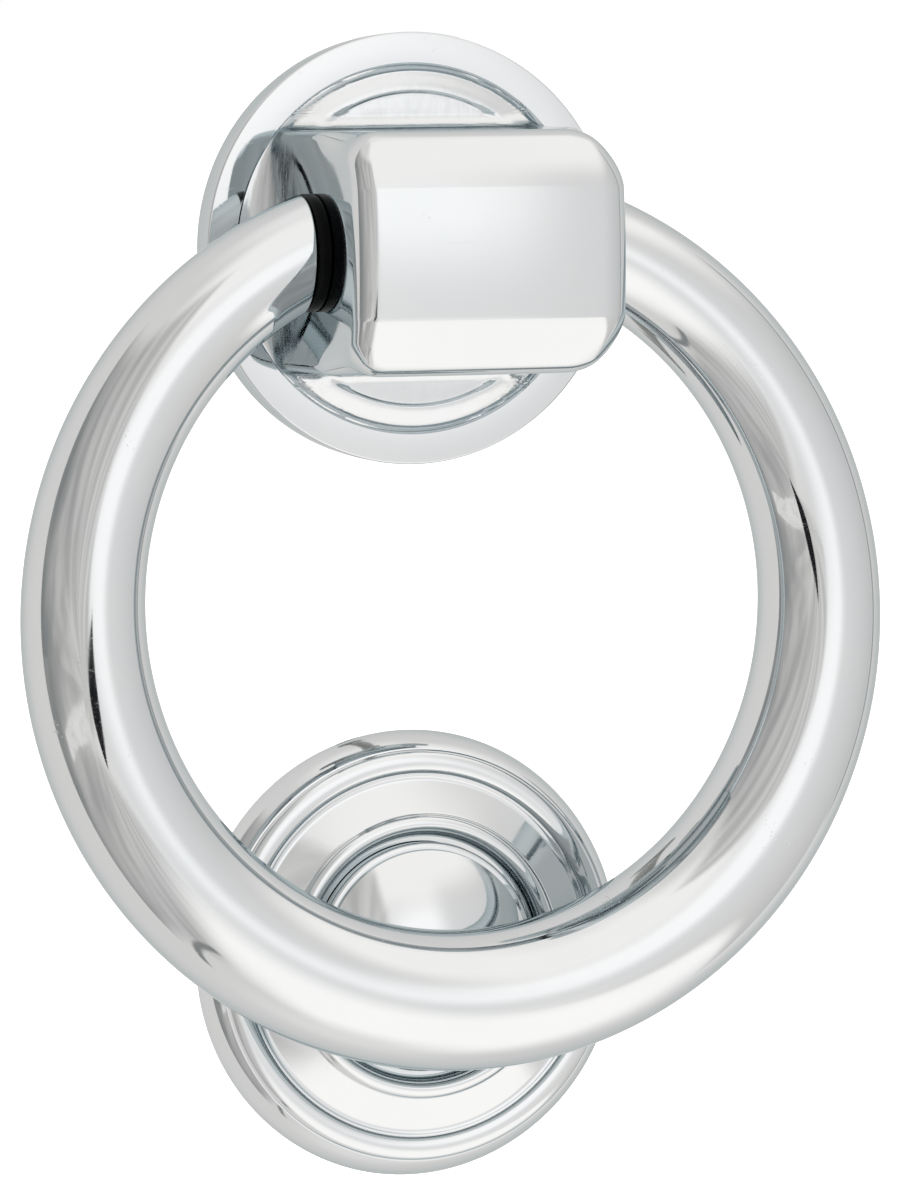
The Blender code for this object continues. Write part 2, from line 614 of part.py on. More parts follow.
def build_fixing(label, height):
    """Stud, flat washer, spring washer and domed nut that hold one casting, at a height on the door."""
    bore = STUD_RADIUS + GAP
    washer_start = GAP
    spring_start = washer_start + WASHER_THICKNESS + GAP
    nut_start = spring_start + WASHER_THICKNESS + GAP
    stud_end = nut_start + NUT_THREAD_DEPTH - STUD_HOLE_EXTRA

    stud = rod(label + "_stud", STUD_RADIUS, stud_end, -(DOOR_THICKNESS + STUD_HEAD_DEPTH), PARTS, STEEL,
               chamfer=STUD_CHAMFER)
    washer = turned(label + "_washer",
                    tube_profile(bore, WASHER_RADIUS, washer_start + WASHER_THICKNESS, washer_start),
                    PARTS, STEEL, closed=True, steps=SMALL_TURN_STEPS)
    spring = turned(label + "_spring_washer",
                    tube_profile(bore, SPRING_WASHER_RADIUS, spring_start + WASHER_THICKNESS, spring_start),
                    PARTS, DARK_STEEL, closed=True, steps=SMALL_TURN_STEPS)
    slit = cutting_box(label + "_slit", (SPRING_WASHER_SLIT, SLIT_CUT_LENGTH, 3 * WASHER_THICKNESS),
                       (0.0, -SLIT_CUT_OFFSET, spring_start + WASHER_THICKNESS / 2))
    slit.rotation_euler = (0.0, math.radians(SPRING_WASHER_SLANT), 0.0)
    boolean(spring, slit, "DIFFERENCE")
    slit.parent = spring

    nut = hexagonal_prism(label + "_dome_nut", NUT_ACROSS_FLATS, nut_start + NUT_HEX_HEIGHT, nut_start, PARTS)
    nut.data.materials.append(CHROME)
    dome_height = NUT_HEIGHT - NUT_HEX_HEIGHT
    dome_foot = nut_start + NUT_HEX_HEIGHT
    dome_shape = arc((0.0, dome_foot), (NUT_DOME_RADIUS, dome_height), 90, 0, MOULDING_STEPS)
    dome_shape += [(NUT_DOME_RADIUS, dome_foot - CUT_MARGIN), (0.0, dome_foot - CUT_MARGIN)]
    dome = as_cutter(turned(label + "_nut_dome", dome_shape, CUTTERS, steps=SMALL_TURN_STEPS))
    dome.parent = nut
    boolean(nut, dome, "UNION")
    thread = cutting_rod(label + "_nut_thread", bore, nut_start + NUT_THREAD_DEPTH, nut_start - CUT_MARGIN)
    thread.parent = nut
    boolean(nut, thread, "DIFFERENCE")

    for piece in (stud, washer, spring, nut):
        piece.location = (0.0, DOOR_THICKNESS, height)
        piece.rotation_euler = INWARD


clear_scene()
PARTS = new_collection("ring_door_knocker")
CUTTERS = new_collection("cutters")
CHROME = new_material("chrome", (0.86, 0.87, 0.88), 0.06, 1.0)
STEEL = new_material("zinc_steel", (0.62, 0.62, 0.60), 0.32, 1.0)
DARK_STEEL = new_material("dark_steel", (0.16, 0.16, 0.17), 0.40, 1.0)
NYLON = new_material("black_nylon", (0.012, 0.012, 0.013), 0.25, 0.0)

build_body()
build_bushes()
build_ring()
build_strike()
build_fixing("body", 0.0)
build_fixing("strike", -STRIKE_DROP)
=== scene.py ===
"""Looks of the ring door knocker: fine chromed pieces that stand for the faceted CAD solids.

Metres, +Z up. The door's face is the plane y = 0 and the knocker stands out towards -Y. "Depth" is the
distance out from the door's face, so a point at depth d has y = -d.
"""

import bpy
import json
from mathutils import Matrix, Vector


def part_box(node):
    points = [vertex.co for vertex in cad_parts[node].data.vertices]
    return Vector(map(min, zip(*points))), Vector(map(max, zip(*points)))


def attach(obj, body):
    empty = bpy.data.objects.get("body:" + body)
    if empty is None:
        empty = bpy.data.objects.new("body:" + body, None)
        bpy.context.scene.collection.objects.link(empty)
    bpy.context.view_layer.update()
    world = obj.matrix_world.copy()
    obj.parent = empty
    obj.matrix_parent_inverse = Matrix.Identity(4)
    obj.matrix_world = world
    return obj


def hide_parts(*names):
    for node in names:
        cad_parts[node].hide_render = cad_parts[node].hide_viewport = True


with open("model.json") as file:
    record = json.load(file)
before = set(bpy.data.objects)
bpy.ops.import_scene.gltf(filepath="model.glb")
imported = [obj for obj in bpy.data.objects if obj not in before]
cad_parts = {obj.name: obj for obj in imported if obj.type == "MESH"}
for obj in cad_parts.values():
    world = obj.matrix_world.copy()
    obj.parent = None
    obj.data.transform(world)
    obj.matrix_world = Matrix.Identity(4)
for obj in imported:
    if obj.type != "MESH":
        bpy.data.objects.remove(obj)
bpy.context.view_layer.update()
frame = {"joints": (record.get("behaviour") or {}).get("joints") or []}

import json
import math

import bmesh
import bpy
from mathutils import Matrix, Vector

MM = 0.001

BODY_LOW, BODY_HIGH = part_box("knocker_body")
STRIKE_LOW, STRIKE_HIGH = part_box("strike_plate")
BUTTON_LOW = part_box("strike_button")[0]
PIVOT = Vector(frame["joints"][0]["pos_m"])
DOOR_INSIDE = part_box("body_washer")[0].y - 0.3 * MM     # the door's inner face
STRIKE_HEIGHT = (STRIKE_LOW.z + STRIKE_HIGH.z) / 2

# Upper casting
ROSE_RADIUS = (BODY_HIGH.x - BODY_LOW.x) / 2
ROSE_EDGE_TAPER = 0.15 * MM
RIM_DEPTH = 4.3 * MM
RIM_CHAMFER = 0.25 * MM
RIM_INNER_RADIUS = 21.5 * MM
COVE_RADIUS = 21.2 * MM
COVE_DEPTH = 3.9 * MM
BEAD_RADII = (17.9 * MM, 20.5 * MM)
BEAD_CREST_RADIUS = 18.3 * MM           # the bead's crest stands nearer to the disc inside it
BEAD_FOOT_DEPTHS = (4.93 * MM, 4.6 * MM)
BEAD_CREST_DEPTH = 5.2 * MM
DISC_RADIUS = 17.5 * MM
DISC_DEPTH = 5.0 * MM
BLOCK_HALF_WIDTH = 16.3 * MM
BLOCK_HALF_HEIGHT = 13.9 * MM
BLOCK_PEAK = -BODY_LOW.y
CROWN_HALF_HEIGHT = 7.45 * MM           # the front's middle panel is crowned, this far up and down
CROWN_TILT = math.radians(5.0)          # how far the panel leans back at its two creases
BAND_TILTS = (math.radians(14.0), math.radians(33.0))      # how far the bands beyond the creases lean
BAND_EDGE_RADIUS = 2.7 * MM             # and the radius that ends them at the block's top and bottom
LEFT_EDGE_RADIUS = 2.5 * MM
RIGHT_EDGE_RADIUS = 3.8 * MM            # the polished right edge is softer than the left
LEFT_FALL = 0.8 * MM                    # how far the front falls back at its left and right
RIGHT_FALL = 1.3 * MM
LEFT_FALL_POWER = 2.0                   # and how late it does, from the middle to the sides
RIGHT_FALL_POWER = 2.4
RIGHT_SPREAD = 0.8 * MM                 # how much wider the front is than the block behind it, at its right
LEFT_CORNER = 3.8 * MM                  # roundness of the front's corners seen from in front
RIGHT_CORNER = 6.8 * MM
LONG_EDGE_RADIUS = 1.2 * MM
SIDE_FLARE_HEIGHT = 5.7 * MM
TOP_FLARE_HEIGHT = 1.7 * MM
FLARE_CHANGE_ANGLES = (38.0, 48.0)
STUD_HOLE_RADIUS = 3.3 * MM
STUD_HOLE_DEPTH = 8.5 * MM
BACK_RECESS_RADII = (8.0 * MM, 19.5 * MM)
BACK_RECESS_DEPTH = 1.6 * MM

# Ring, pin and bushes
RING_RADIUS = 44.85 * MM
RING_TUBE_RADIUS = 7.13 * MM
RING_TAPER = 0.97 * MM
RING_END_X = 17.9 * MM
RING_DROP = math.sqrt(RING_RADIUS ** 2 - RING_END_X ** 2)
PIN_RADIUS = 2.5 * MM
PIN_HALF_LENGTH = 23.2 * MM
BORE_RADIUS = 4.3 * MM
BUSH_SLEEVE_RADIUS = 4.2 * MM
BUSH_SLEEVE_LENGTH = 9.0 * MM
BUSH_FLANGE_RADIUS = 6.75 * MM
BUSH_GAP = 0.1 * MM
GRUB_RADIUS = 1.5 * MM
GRUB_HOLE_RADIUS = 1.65 * MM
GRUB_LENGTH = 2.9 * MM
GRUB_X = 20.6 * MM

# Strike plate and button
STRIKE_RADIUS = 26.0 * MM
BUTTON_RADIUS = 13.3 * MM
BUTTON_PEAK = -BUTTON_LOW.y
BUTTON_DOME_RADIUS = 12.4 * MM
BUTTON_DOME_FOOT = 7.0 * MM
BUTTON_SHOULDER = 6.5 * MM
WELL_DEPTH = 2.7 * MM
GROOVE_DEPTH = 4.7 * MM                 # floor of the groove round the button

# Fixings
STUD_RADIUS = 3.0 * MM
THREAD_PITCH = 1.0 * MM
THREAD_DEPTH = 0.45 * MM
PEG_RADIUS = 1.5 * MM
PEG_OFFSET = 22.2 * MM
NUT_ACROSS_FLATS = 10.0 * MM
NUT_HEX_HEIGHT = 5.0 * MM
NUT_HEIGHT = 11.0 * MM
NUT_DOME_RADIUS = 4.7 * MM
NUT_BORE_DEPTH = 8.5 * MM

# Turned pieces have their axis on local Z, which these point out of the door, into it, or along the pivot
OUTWARD = Matrix.Rotation(math.pi / 2, 4, "X")
INWARD = Matrix.Rotation(-math.pi / 2, 4, "X")
RIGHTWARD = Matrix.Rotation(math.pi / 2, 4, "Y")
LEFTWARD = Matrix.Rotation(-math.pi / 2, 4, "Y")


# ---------------------------------------------------------------- mesh tools

def smooth_step(value, low, high):
    """Rise smoothly from 0 at low to 1 at high."""
    share = min(max((value - low) / (high - low), 0.0), 1.0)
    return share * share * (3 - 2 * share)


def blend_between(low, high, share):
    """The value a share of the way from low to high."""
    return low + (high - low) * share


def arc(centre, radii, start, end, steps):
    """Points of an elliptical arc about a centre, from one angle to another in degrees."""
    angles = [math.radians(blend_between(start, end, step / steps)) for step in range(steps + 1)]
    return [(centre[0] + radii[0] * math.cos(angle), centre[1] + radii[1] * math.sin(angle))
            for angle in angles]


def filleted(corners, steps=6):
    """Closed outline through (x, y, fillet radius) corners, each rounded by its fillet."""
    outline = []
    for index, (x, y, fillet) in enumerate(corners):
        here = Vector((x, y))
        if not fillet:
            outline.append((x, y))
            continue
        to_last = (Vector(corners[index - 1][:2]) - here).normalized()
        to_next = (Vector(corners[(index + 1) % len(corners)][:2]) - here).normalized()
        half = to_last.angle(to_next) / 2
        centre = here + (to_last + to_next).normalized() * (fillet / math.sin(half))
        start = here + to_last * (fillet / math.tan(half)) - centre
        end = here + to_next * (fillet / math.tan(half)) - centre
        turn = math.pi - 2 * half
        for step in range(steps + 1):
            share = step / steps
            spoke = start * math.sin((1 - share) * turn) + end * math.sin(share * turn)
            point = centre + spoke / math.sin(turn)
            outline.append((point.x, point.y))
    return outline


def mesh_from(name, build):
    """A closed mesh made by a function that fills a bmesh."""
    made = bmesh.new()
    build(made)
    bmesh.ops.remove_doubles(made, verts=made.verts, dist=0.0005 * MM)
    bmesh.ops.recalc_face_normals(made, faces=made.faces)
    mesh = bpy.data.meshes.new(name)
    made.to_mesh(mesh)
    made.free()
    return mesh


def join_rows(made, rows, wrap=False):
    """Quads between neighbouring rows of vertices, each row a closed loop."""
    pairs = list(zip(rows, rows[1:]))
    if wrap:
        pairs.append((rows[-1], rows[0]))
    for inner, outer in pairs:
        for index in range(len(inner)):
            following = (index + 1) % len(inner)
            corners = [inner[index], outer[index], outer[following], inner[following]]
            made.faces.new(corners)


def turned_mesh(name, profile, steps=160, closed=False):
    """Turn a profile of (radius, height) points about local Z. An open one starts and ends on the axis."""
    turns = [math.tau * (index + 0.5) / steps for index in range(steps)]

    def build(made):
        rows = []
        for radius, height in profile:
            reach = max(radius, 0.0001 * MM)
            rows.append([made.verts.new((reach * math.cos(turn), reach * math.sin(turn), height))
                         for turn in turns])
        join_rows(made, rows, wrap=closed)
        bmesh.ops.remove_doubles(made, verts=made.verts, dist=0.001 * MM)
        bmesh.ops.dissolve_degenerate(made, edges=made.edges, dist=0.0002 * MM)
    return mesh_from(name, build)


def prism_mesh(name, outline, low, high):
    """A straight prism over an (x, y) outline."""
    def build(made):
        rows = [[made.verts.new((x, y, height)) for x, y in outline] for height in (high, low)]
        join_rows(made, rows)
        made.faces.new(rows[0])
        made.faces.new(rows[1])
    return mesh_from(name, build)


def hexagon(across_flats):
    """Corners of a hexagon."""
    corner = across_flats / 2 / math.cos(math.pi / 6)
    return [(corner * math.cos(math.radians(60 * index)), corner * math.sin(math.radians(60 * index)))
            for index in range(6)]


def loose_object(mesh, matrix=Matrix.Identity(4)):
    """A scratch object that a piece is cut with or joined to."""
    made = bpy.data.objects.new(mesh.name, mesh)
    bpy.context.scene.collection.objects.link(made)
    made.matrix_world = matrix
    return made


def combine(mesh, tools, operation="DIFFERENCE"):
    """The mesh after exact Booleans with (mesh, matrix) tools in its own space."""
    target = loose_object(mesh)
    others = [loose_object(tool, matrix) for tool, matrix in tools]
    for other in others:
        modifier = target.modifiers.new("Boolean", "BOOLEAN")
        modifier.operation = operation
        modifier.solver = "EXACT"
        modifier.object = other
    bpy.context.view_layer.update()
    graph = bpy.context.evaluated_depsgraph_get()
    made = bpy.data.meshes.new_from_object(target.evaluated_get(graph))
    made.name = mesh.name
    for scratch in [target] + others:
        bpy.data.objects.remove(scratch, do_unlink=True)
    return made


def piece(name, mesh, finish, body, node, matrix=Matrix.Identity(4), crease=32.0):
    """Show a mesh as a piece of the object that rides on a body and stands for a CAD node."""
    made = bpy.data.objects.new(name, mesh)
    bpy.context.scene.collection.objects.link(made)
    made.matrix_world = matrix
    mesh.materials.clear()
    mesh.materials.append(finish)
    mesh.shade_smooth()
    mesh.set_sharp_from_angle(angle=math.radians(crease))
    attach(made, body)
    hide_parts(node)
    return made


# ---------------------------------------------------------------- upper casting

def rounded_rectangle_reach(angle, half_width, half_height, corner):
    """Distance from the centre of a rounded rectangle to its outline, in one direction."""
    across = abs(math.cos(angle))
    up = abs(math.sin(angle))
    centre_x = half_width - corner
    centre_z = half_height - corner
    if half_width * up <= centre_z * across:
        return half_width / across
    if half_height * across <= centre_x * up:
        return half_height / up
    along = across * centre_x + up * centre_z
    return along + math.sqrt(along ** 2 - centre_x ** 2 - centre_z ** 2 + corner ** 2)


def rose_depth(radius):
    """Depth of the rose's moulded face at a radius."""
    inner, outer = BEAD_RADII
    if radius >= RIM_INNER_RADIUS:
        return RIM_DEPTH
    if radius > COVE_RADIUS:
        share = (radius - COVE_RADIUS) / (RIM_INNER_RADIUS - COVE_RADIUS)
        return blend_between(COVE_DEPTH, RIM_DEPTH, share)
    if radius > outer:
        share = (COVE_RADIUS - radius) / (COVE_RADIUS - outer)
        return blend_between(COVE_DEPTH, BEAD_FOOT_DEPTHS[1], share ** 2)
    if radius > inner:
        side, foot = inner, BEAD_FOOT_DEPTHS[0]
        if radius > BEAD_CREST_RADIUS:
            side, foot = outer, BEAD_FOOT_DEPTHS[1]
        share = (radius - BEAD_CREST_RADIUS) / (side - BEAD_CREST_RADIUS)
        return blend_between(foot, BEAD_CREST_DEPTH, math.cos(math.pi / 2 * share) ** 1.5)
    if radius > DISC_RADIUS:
        return blend_between(BEAD_FOOT_DEPTHS[0], DISC_DEPTH, (inner - radius) / (inner - DISC_RADIUS))
    return DISC_DEPTH


def crown_drop():
    """How far the panel has fallen back at its creases."""
    return CROWN_HALF_HEIGHT * math.tan(CROWN_TILT) / 2


def band_edge_height():
    """Height at which the bands turn into the block's top and bottom edges."""
    return BLOCK_HALF_HEIGHT - BAND_EDGE_RADIUS * (1 - math.sin(BAND_TILTS[1]))


def band_radius():
    """Radius of the bands that lean back beyond the creases."""
    return (band_edge_height() - CROWN_HALF_HEIGHT) / (math.sin(BAND_TILTS[1]) - math.sin(BAND_TILTS[0]))


def fall_up(z):
    """How far the front has fallen back at a height."""
    if abs(z) <= CROWN_HALF_HEIGHT:
        return crown_drop() * (z / CROWN_HALF_HEIGHT) ** 2
    fallen, low, radius, tilt = crown_drop(), CROWN_HALF_HEIGHT, band_radius(), BAND_TILTS[0]
    if abs(z) > band_edge_height():
        fallen += radius * (math.cos(tilt) - math.cos(BAND_TILTS[1]))
        low, radius, tilt = band_edge_height(), BAND_EDGE_RADIUS, BAND_TILTS[1]
    past = radius * math.sin(tilt) + abs(z) - low
    return fallen + radius * math.cos(tilt) - math.sqrt(max(0.0, radius ** 2 - past ** 2))


def fall_across(x):
    """How far the front has fallen back at a distance across."""
    radius, fall, power = LEFT_EDGE_RADIUS, LEFT_FALL, LEFT_FALL_POWER
    if x > 0:
        radius, fall, power = RIGHT_EDGE_RADIUS, RIGHT_FALL, RIGHT_FALL_POWER
    past = max(0.0, abs(x) - BLOCK_HALF_WIDTH + radius)
    edge = radius - math.sqrt(max(0.0, radius ** 2 - past ** 2))
    return fall * (abs(x) / BLOCK_HALF_WIDTH) ** power + edge


def front_lines():
    """Positions across and up of the front's grid, closest together where it turns."""
    left, right = BLOCK_HALF_WIDTH - LEFT_EDGE_RADIUS, BLOCK_HALF_WIDTH - RIGHT_EDGE_RADIUS
    turns = [math.sin(math.pi / 2 * step / 16) for step in range(1, 17)]
    across = [-left - LEFT_EDGE_RADIUS * turn for turn in reversed(turns)]
    across += [blend_between(-left, right, step / 44) for step in range(45)]
    across += [right + RIGHT_EDGE_RADIUS * turn for turn in turns]
    upper = [CROWN_HALF_HEIGHT * step / 16 for step in range(17)] + [CROWN_HALF_HEIGHT + 0.12 * MM]
    upper += [blend_between(CROWN_HALF_HEIGHT, band_edge_height(), step / 16) for step in range(1, 17)]
    start = math.sin(BAND_TILTS[1])
    for step in range(1, 17):
        turn = math.sin(blend_between(BAND_TILTS[1], math.pi / 2, step / 16))
        upper.append(band_edge_height() + BAND_EDGE_RADIUS * (turn - start))
    return across, [-height for height in reversed(upper[1:])] + upper


def drawn_in(x, z, radius):
    """Move a point of the block's square outline to the same outline with round corners."""
    corner_x, corner_z = BLOCK_HALF_WIDTH - radius, BLOCK_HALF_HEIGHT - radius
    if abs(x) <= corner_x or abs(z) <= corner_z:
        return x, z
    over_x, over_z = (abs(x) - corner_x) / radius, (abs(z) - corner_z) / radius
    return (math.copysign(corner_x + radius * over_x * math.sqrt(1 - over_z ** 2 / 2), x),
            math.copysign(corner_z + radius * over_z * math.sqrt(1 - over_x ** 2 / 2), z))


def front_point(x, z):
    """Point of the front's grid."""
    round_x, round_z = drawn_in(x, z, RIGHT_CORNER if x > 0 else LEFT_CORNER)
    spread = RIGHT_SPREAD * max(0.0, x / BLOCK_HALF_WIDTH) ** 2
    return Vector((round_x + spread, fall_up(z) + fall_across(x) - BLOCK_PEAK, round_z))


def flare_section(angle, sweep):
    """Reach and depth of the concave sweep from block to rose, at a sweep of 0 to 90 degrees."""
    start = rounded_rectangle_reach(angle, BLOCK_HALF_WIDTH, BLOCK_HALF_HEIGHT, LONG_EDGE_RADIUS)
    foot_height = BLOCK_HALF_HEIGHT + TOP_FLARE_HEIGHT
    end = min(COVE_RADIUS, foot_height / max(abs(math.sin(angle)), 0.01))
    reach = start + (end - start) * (1 - math.cos(sweep))
    slope = math.degrees(math.asin(abs(math.sin(angle))))
    topness = smooth_step(slope, *FLARE_CHANGE_ANGLES)
    height = blend_between(SIDE_FLARE_HEIGHT, TOP_FLARE_HEIGHT, topness)
    foot = blend_between(rose_depth(end), rose_depth(reach), topness)
    return reach, foot + height * (1 - math.sin(sweep))


def casting_rows(rim):
    """Rows of points from the front grid's rim, given as (x, z), back to the door."""
    square = [drawn_in(x, z, LONG_EDGE_RADIUS) for x, z in rim]
    angles = [math.atan2(z, x) for x, z in square]
    rows = []
    wall_steps, flare_steps = 26, 22
    wall_foot = RIM_DEPTH + SIDE_FLARE_HEIGHT + 1.0 * MM
    for step in range(1, wall_steps + 1):
        squared = smooth_step(step / wall_steps, 0.0, 0.6)
        drawn = smooth_step(step / wall_steps, 0.0, 0.24)
        row = []
        for (x, z), (end_x, end_z) in zip(rim, square):
            start = front_point(x, z)
            spread = RIGHT_SPREAD * max(0.0, x / BLOCK_HALF_WIDTH) ** 2
            row.append(Vector((blend_between(start.x - spread, end_x, squared) + spread * (1 - drawn),
                               blend_between(start.y, -wall_foot, step / wall_steps),
                               blend_between(start.z, end_z, squared))))
        rows.append(row)

    def add_row(row):
        rows.append([Vector((reach * math.cos(angle), -depth, reach * math.sin(angle)))
                     for angle, (reach, depth) in zip(angles, row)])

    for step in range(flare_steps + 1):
        sweep = math.pi / 2 * step / flare_steps
        add_row([flare_section(angle, sweep) for angle in angles])
    bead = arc((BEAD_CREST_RADIUS, 0.0), (BEAD_CREST_RADIUS - BEAD_RADII[0], 0.0), 180, 90, 8)
    bead += arc((BEAD_CREST_RADIUS, 0.0), (BEAD_RADII[1] - BEAD_CREST_RADIUS, 0.0), 90, 0, 18)[1:]
    cove = [blend_between(BEAD_RADII[1], COVE_RADIUS, step / 5) for step in range(1, 6)]
    rings = [DISC_RADIUS] + [radius for radius, _ in bead] + cove + [RIM_INNER_RADIUS]
    feet = [flare_section(angle, math.pi / 2)[0] for angle in angles]
    for step, ring in enumerate(rings, start=1):
        row = []
        for end in feet:
            reach = max(ring, end + (RIM_INNER_RADIUS - end) * step / len(rings))
            row.append((reach, rose_depth(reach)))
        add_row(row)
    edge_centre = (ROSE_RADIUS - RIM_CHAMFER, RIM_DEPTH - RIM_CHAMFER)
    outside = arc(edge_centre, (RIM_CHAMFER, RIM_CHAMFER), 90, 0, 5)
    for radius, depth in outside + [(ROSE_RADIUS - ROSE_EDGE_TAPER, 0.0)]:
        add_row([(radius, depth) for _ in angles])
    return rows


def rim_of(grid):
    """The outermost entries of a grid of rows, in order round it."""
    right = [row[-1] for row in grid[1:]]
    top = list(reversed(grid[-1][:-1]))
    left = [row[0] for row in reversed(grid[1:-1])]
    return grid[0] + right + top + left


def casting_mesh():
    """The upper casting as one skin: gridded front, square block, flared foot and round rose."""
    across, upward = front_lines()

    def build(made):
        grid = [[made.verts.new(front_point(x, z)) for x in across] for z in upward]
        for lower, higher in zip(grid, grid[1:]):
            for index in range(len(across) - 1):
                made.faces.new((lower[index], lower[index + 1], higher[index + 1], higher[index]))
        places = [[(x, z) for x in across] for z in upward]
        rings = [rim_of(grid)]
        for row in casting_rows(rim_of(places)):
            rings.append([made.verts.new(point) for point in row])
        join_rows(made, rings)
        made.faces.new(rings[-1])
    return mesh_from("casting", build)


def build_casting():
    """The casting with its pivot bore, stud hole, peg holes and hollowed back."""
    past = 1.0 * MM
    half_bore = BLOCK_HALF_WIDTH + 4 * MM
    bore = turned_mesh("bore", [(0, half_bore), (BORE_RADIUS, half_bore), (BORE_RADIUS, -half_bore),
                                (0, -half_bore)], 64)
    stud_hole = turned_mesh("stud_hole", [(0, STUD_HOLE_DEPTH), (STUD_HOLE_RADIUS, STUD_HOLE_DEPTH),
                                          (STUD_HOLE_RADIUS, -past), (0, -past)], 48)
    inner, outer = BACK_RECESS_RADII
    recess = turned_mesh("recess", filleted([(inner, BACK_RECESS_DEPTH, 0.5 * MM),
                                             (outer, BACK_RECESS_DEPTH, 0.5 * MM),
                                             (outer, -past, 0), (inner, -past, 0)]), 96, closed=True)
    peg_hole = turned_mesh("peg_hole", [(0, 2.7 * MM), (PEG_RADIUS + 0.15 * MM, 2.7 * MM),
                                        (PEG_RADIUS + 0.15 * MM, -past), (0, -past)], 32)
    across = Matrix.Translation((0, PIVOT.y, 0)) @ RIGHTWARD
    tools = [(bore, across), (stud_hole, OUTWARD), (recess, OUTWARD)]
    for side in (1, -1):
        tools.append((peg_hole, Matrix.Translation((0, 0, side * PEG_OFFSET)) @ OUTWARD))
    mesh = combine(casting_mesh(), tools)
    piece("polished_casting", mesh, CHROME_CASTING, "door_fixed", "knocker_body", crease=28)


# ---------------------------------------------------------------- pivot and ring

def hanging():
    """Where the ring's own frame sits: its origin on the pivot, turned as the CAD ring hangs at rest."""
    low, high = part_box("ring_grub_screw_left")
    centre = (low + high) / 2
    turn = math.atan2(centre.z - PIVOT.z, centre.y - PIVOT.y)
    return Matrix.Translation(PIVOT) @ Matrix.Rotation(turn, 4, "X")


def ring_tube_radius(angle):
    """Radius of the ring's tube at an angle from its top."""
    return RING_TUBE_RADIUS - RING_TAPER * math.cos(angle)


def ring_point(angle, turn):
    """Point of the ring's surface at an angle from its top and a turn round its tube."""
    outward = Vector((math.sin(angle), 0.0, math.cos(angle)))
    centre = outward * RING_RADIUS - Vector((0.0, 0.0, RING_DROP))
    spoke = outward * math.cos(turn) + Vector((0.0, math.sin(turn), 0.0))
    return centre + ring_tube_radius(angle) * spoke


def ring_end_angle(turn, x):
    """Angle at which a lengthwise line of the ring's surface crosses a plane of constant x."""
    angle = math.asin(x / RING_RADIUS)
    for _ in range(8):
        angle = math.asin(x / (RING_RADIUS + ring_tube_radius(angle) * math.cos(turn)))
    return angle


def ring_end_rows(turns):
    """Rows from the blind end of the pin's hole, over the flat end of the ring, to its outer edge."""
    hole = PIN_RADIUS + 0.1 * MM
    edge = 0.3 * MM
    outline = [ring_point(ring_end_angle(turn, RING_END_X), turn) for turn in turns]
    spokes = [Vector((0.0, point.y, point.z)).normalized() for point in outline]
    rows = []
    for radius, x in ((hole, PIN_HALF_LENGTH + 0.3 * MM), (hole, RING_END_X + 0.2 * MM),
                      (hole + 0.2 * MM, RING_END_X)):
        rows.append([Vector((x, 0.0, 0.0)) + spoke * radius for spoke in spokes])
    for share in (0.33, 0.66):
        row = []
        for spoke, point in zip(spokes, outline):
            outer = math.hypot(point.y, point.z) - edge
            row.append(Vector((RING_END_X, 0.0, 0.0)) + spoke * blend_between(hole, outer, share))
        rows.append(row)
    for step in range(6):
        angle = math.radians(90 - 18 * step)
        x = RING_END_X + edge * (1 - math.sin(angle))
        inset = edge * (1 - math.cos(angle))
        row = []
        for turn, spoke in zip(turns, spokes):
            point = ring_point(ring_end_angle(turn, x), turn)
            row.append(Vector((x, point.y, point.z)) - spoke * inset)
        rows.append(row)
    return rows


def ring_mesh():
    """The tapering ring, cut off square at both sides of the block, with a blind hole for the pin."""
    lengthwise, around = 620, 144
    turns = [math.tau * (step + 0.5) / around for step in range(around)]
    starts = [ring_end_angle(turn, RING_END_X + 0.3 * MM) for turn in turns]

    def build(made):
        ends = ring_end_rows(turns)
        rows = [[made.verts.new(point) for point in row] for row in ends]
        for index in range(1, lengthwise):
            share = index / lengthwise
            rows.append([made.verts.new(ring_point(blend_between(start, math.tau - start, share), turn))
                         for start, turn in zip(starts, turns)])
        rows += [[made.verts.new((-point.x, point.y, point.z)) for point in row] for row in reversed(ends)]
        join_rows(made, rows)
        made.faces.new(rows[0])
        made.faces.new(rows[-1])
    return mesh_from("ring", build)


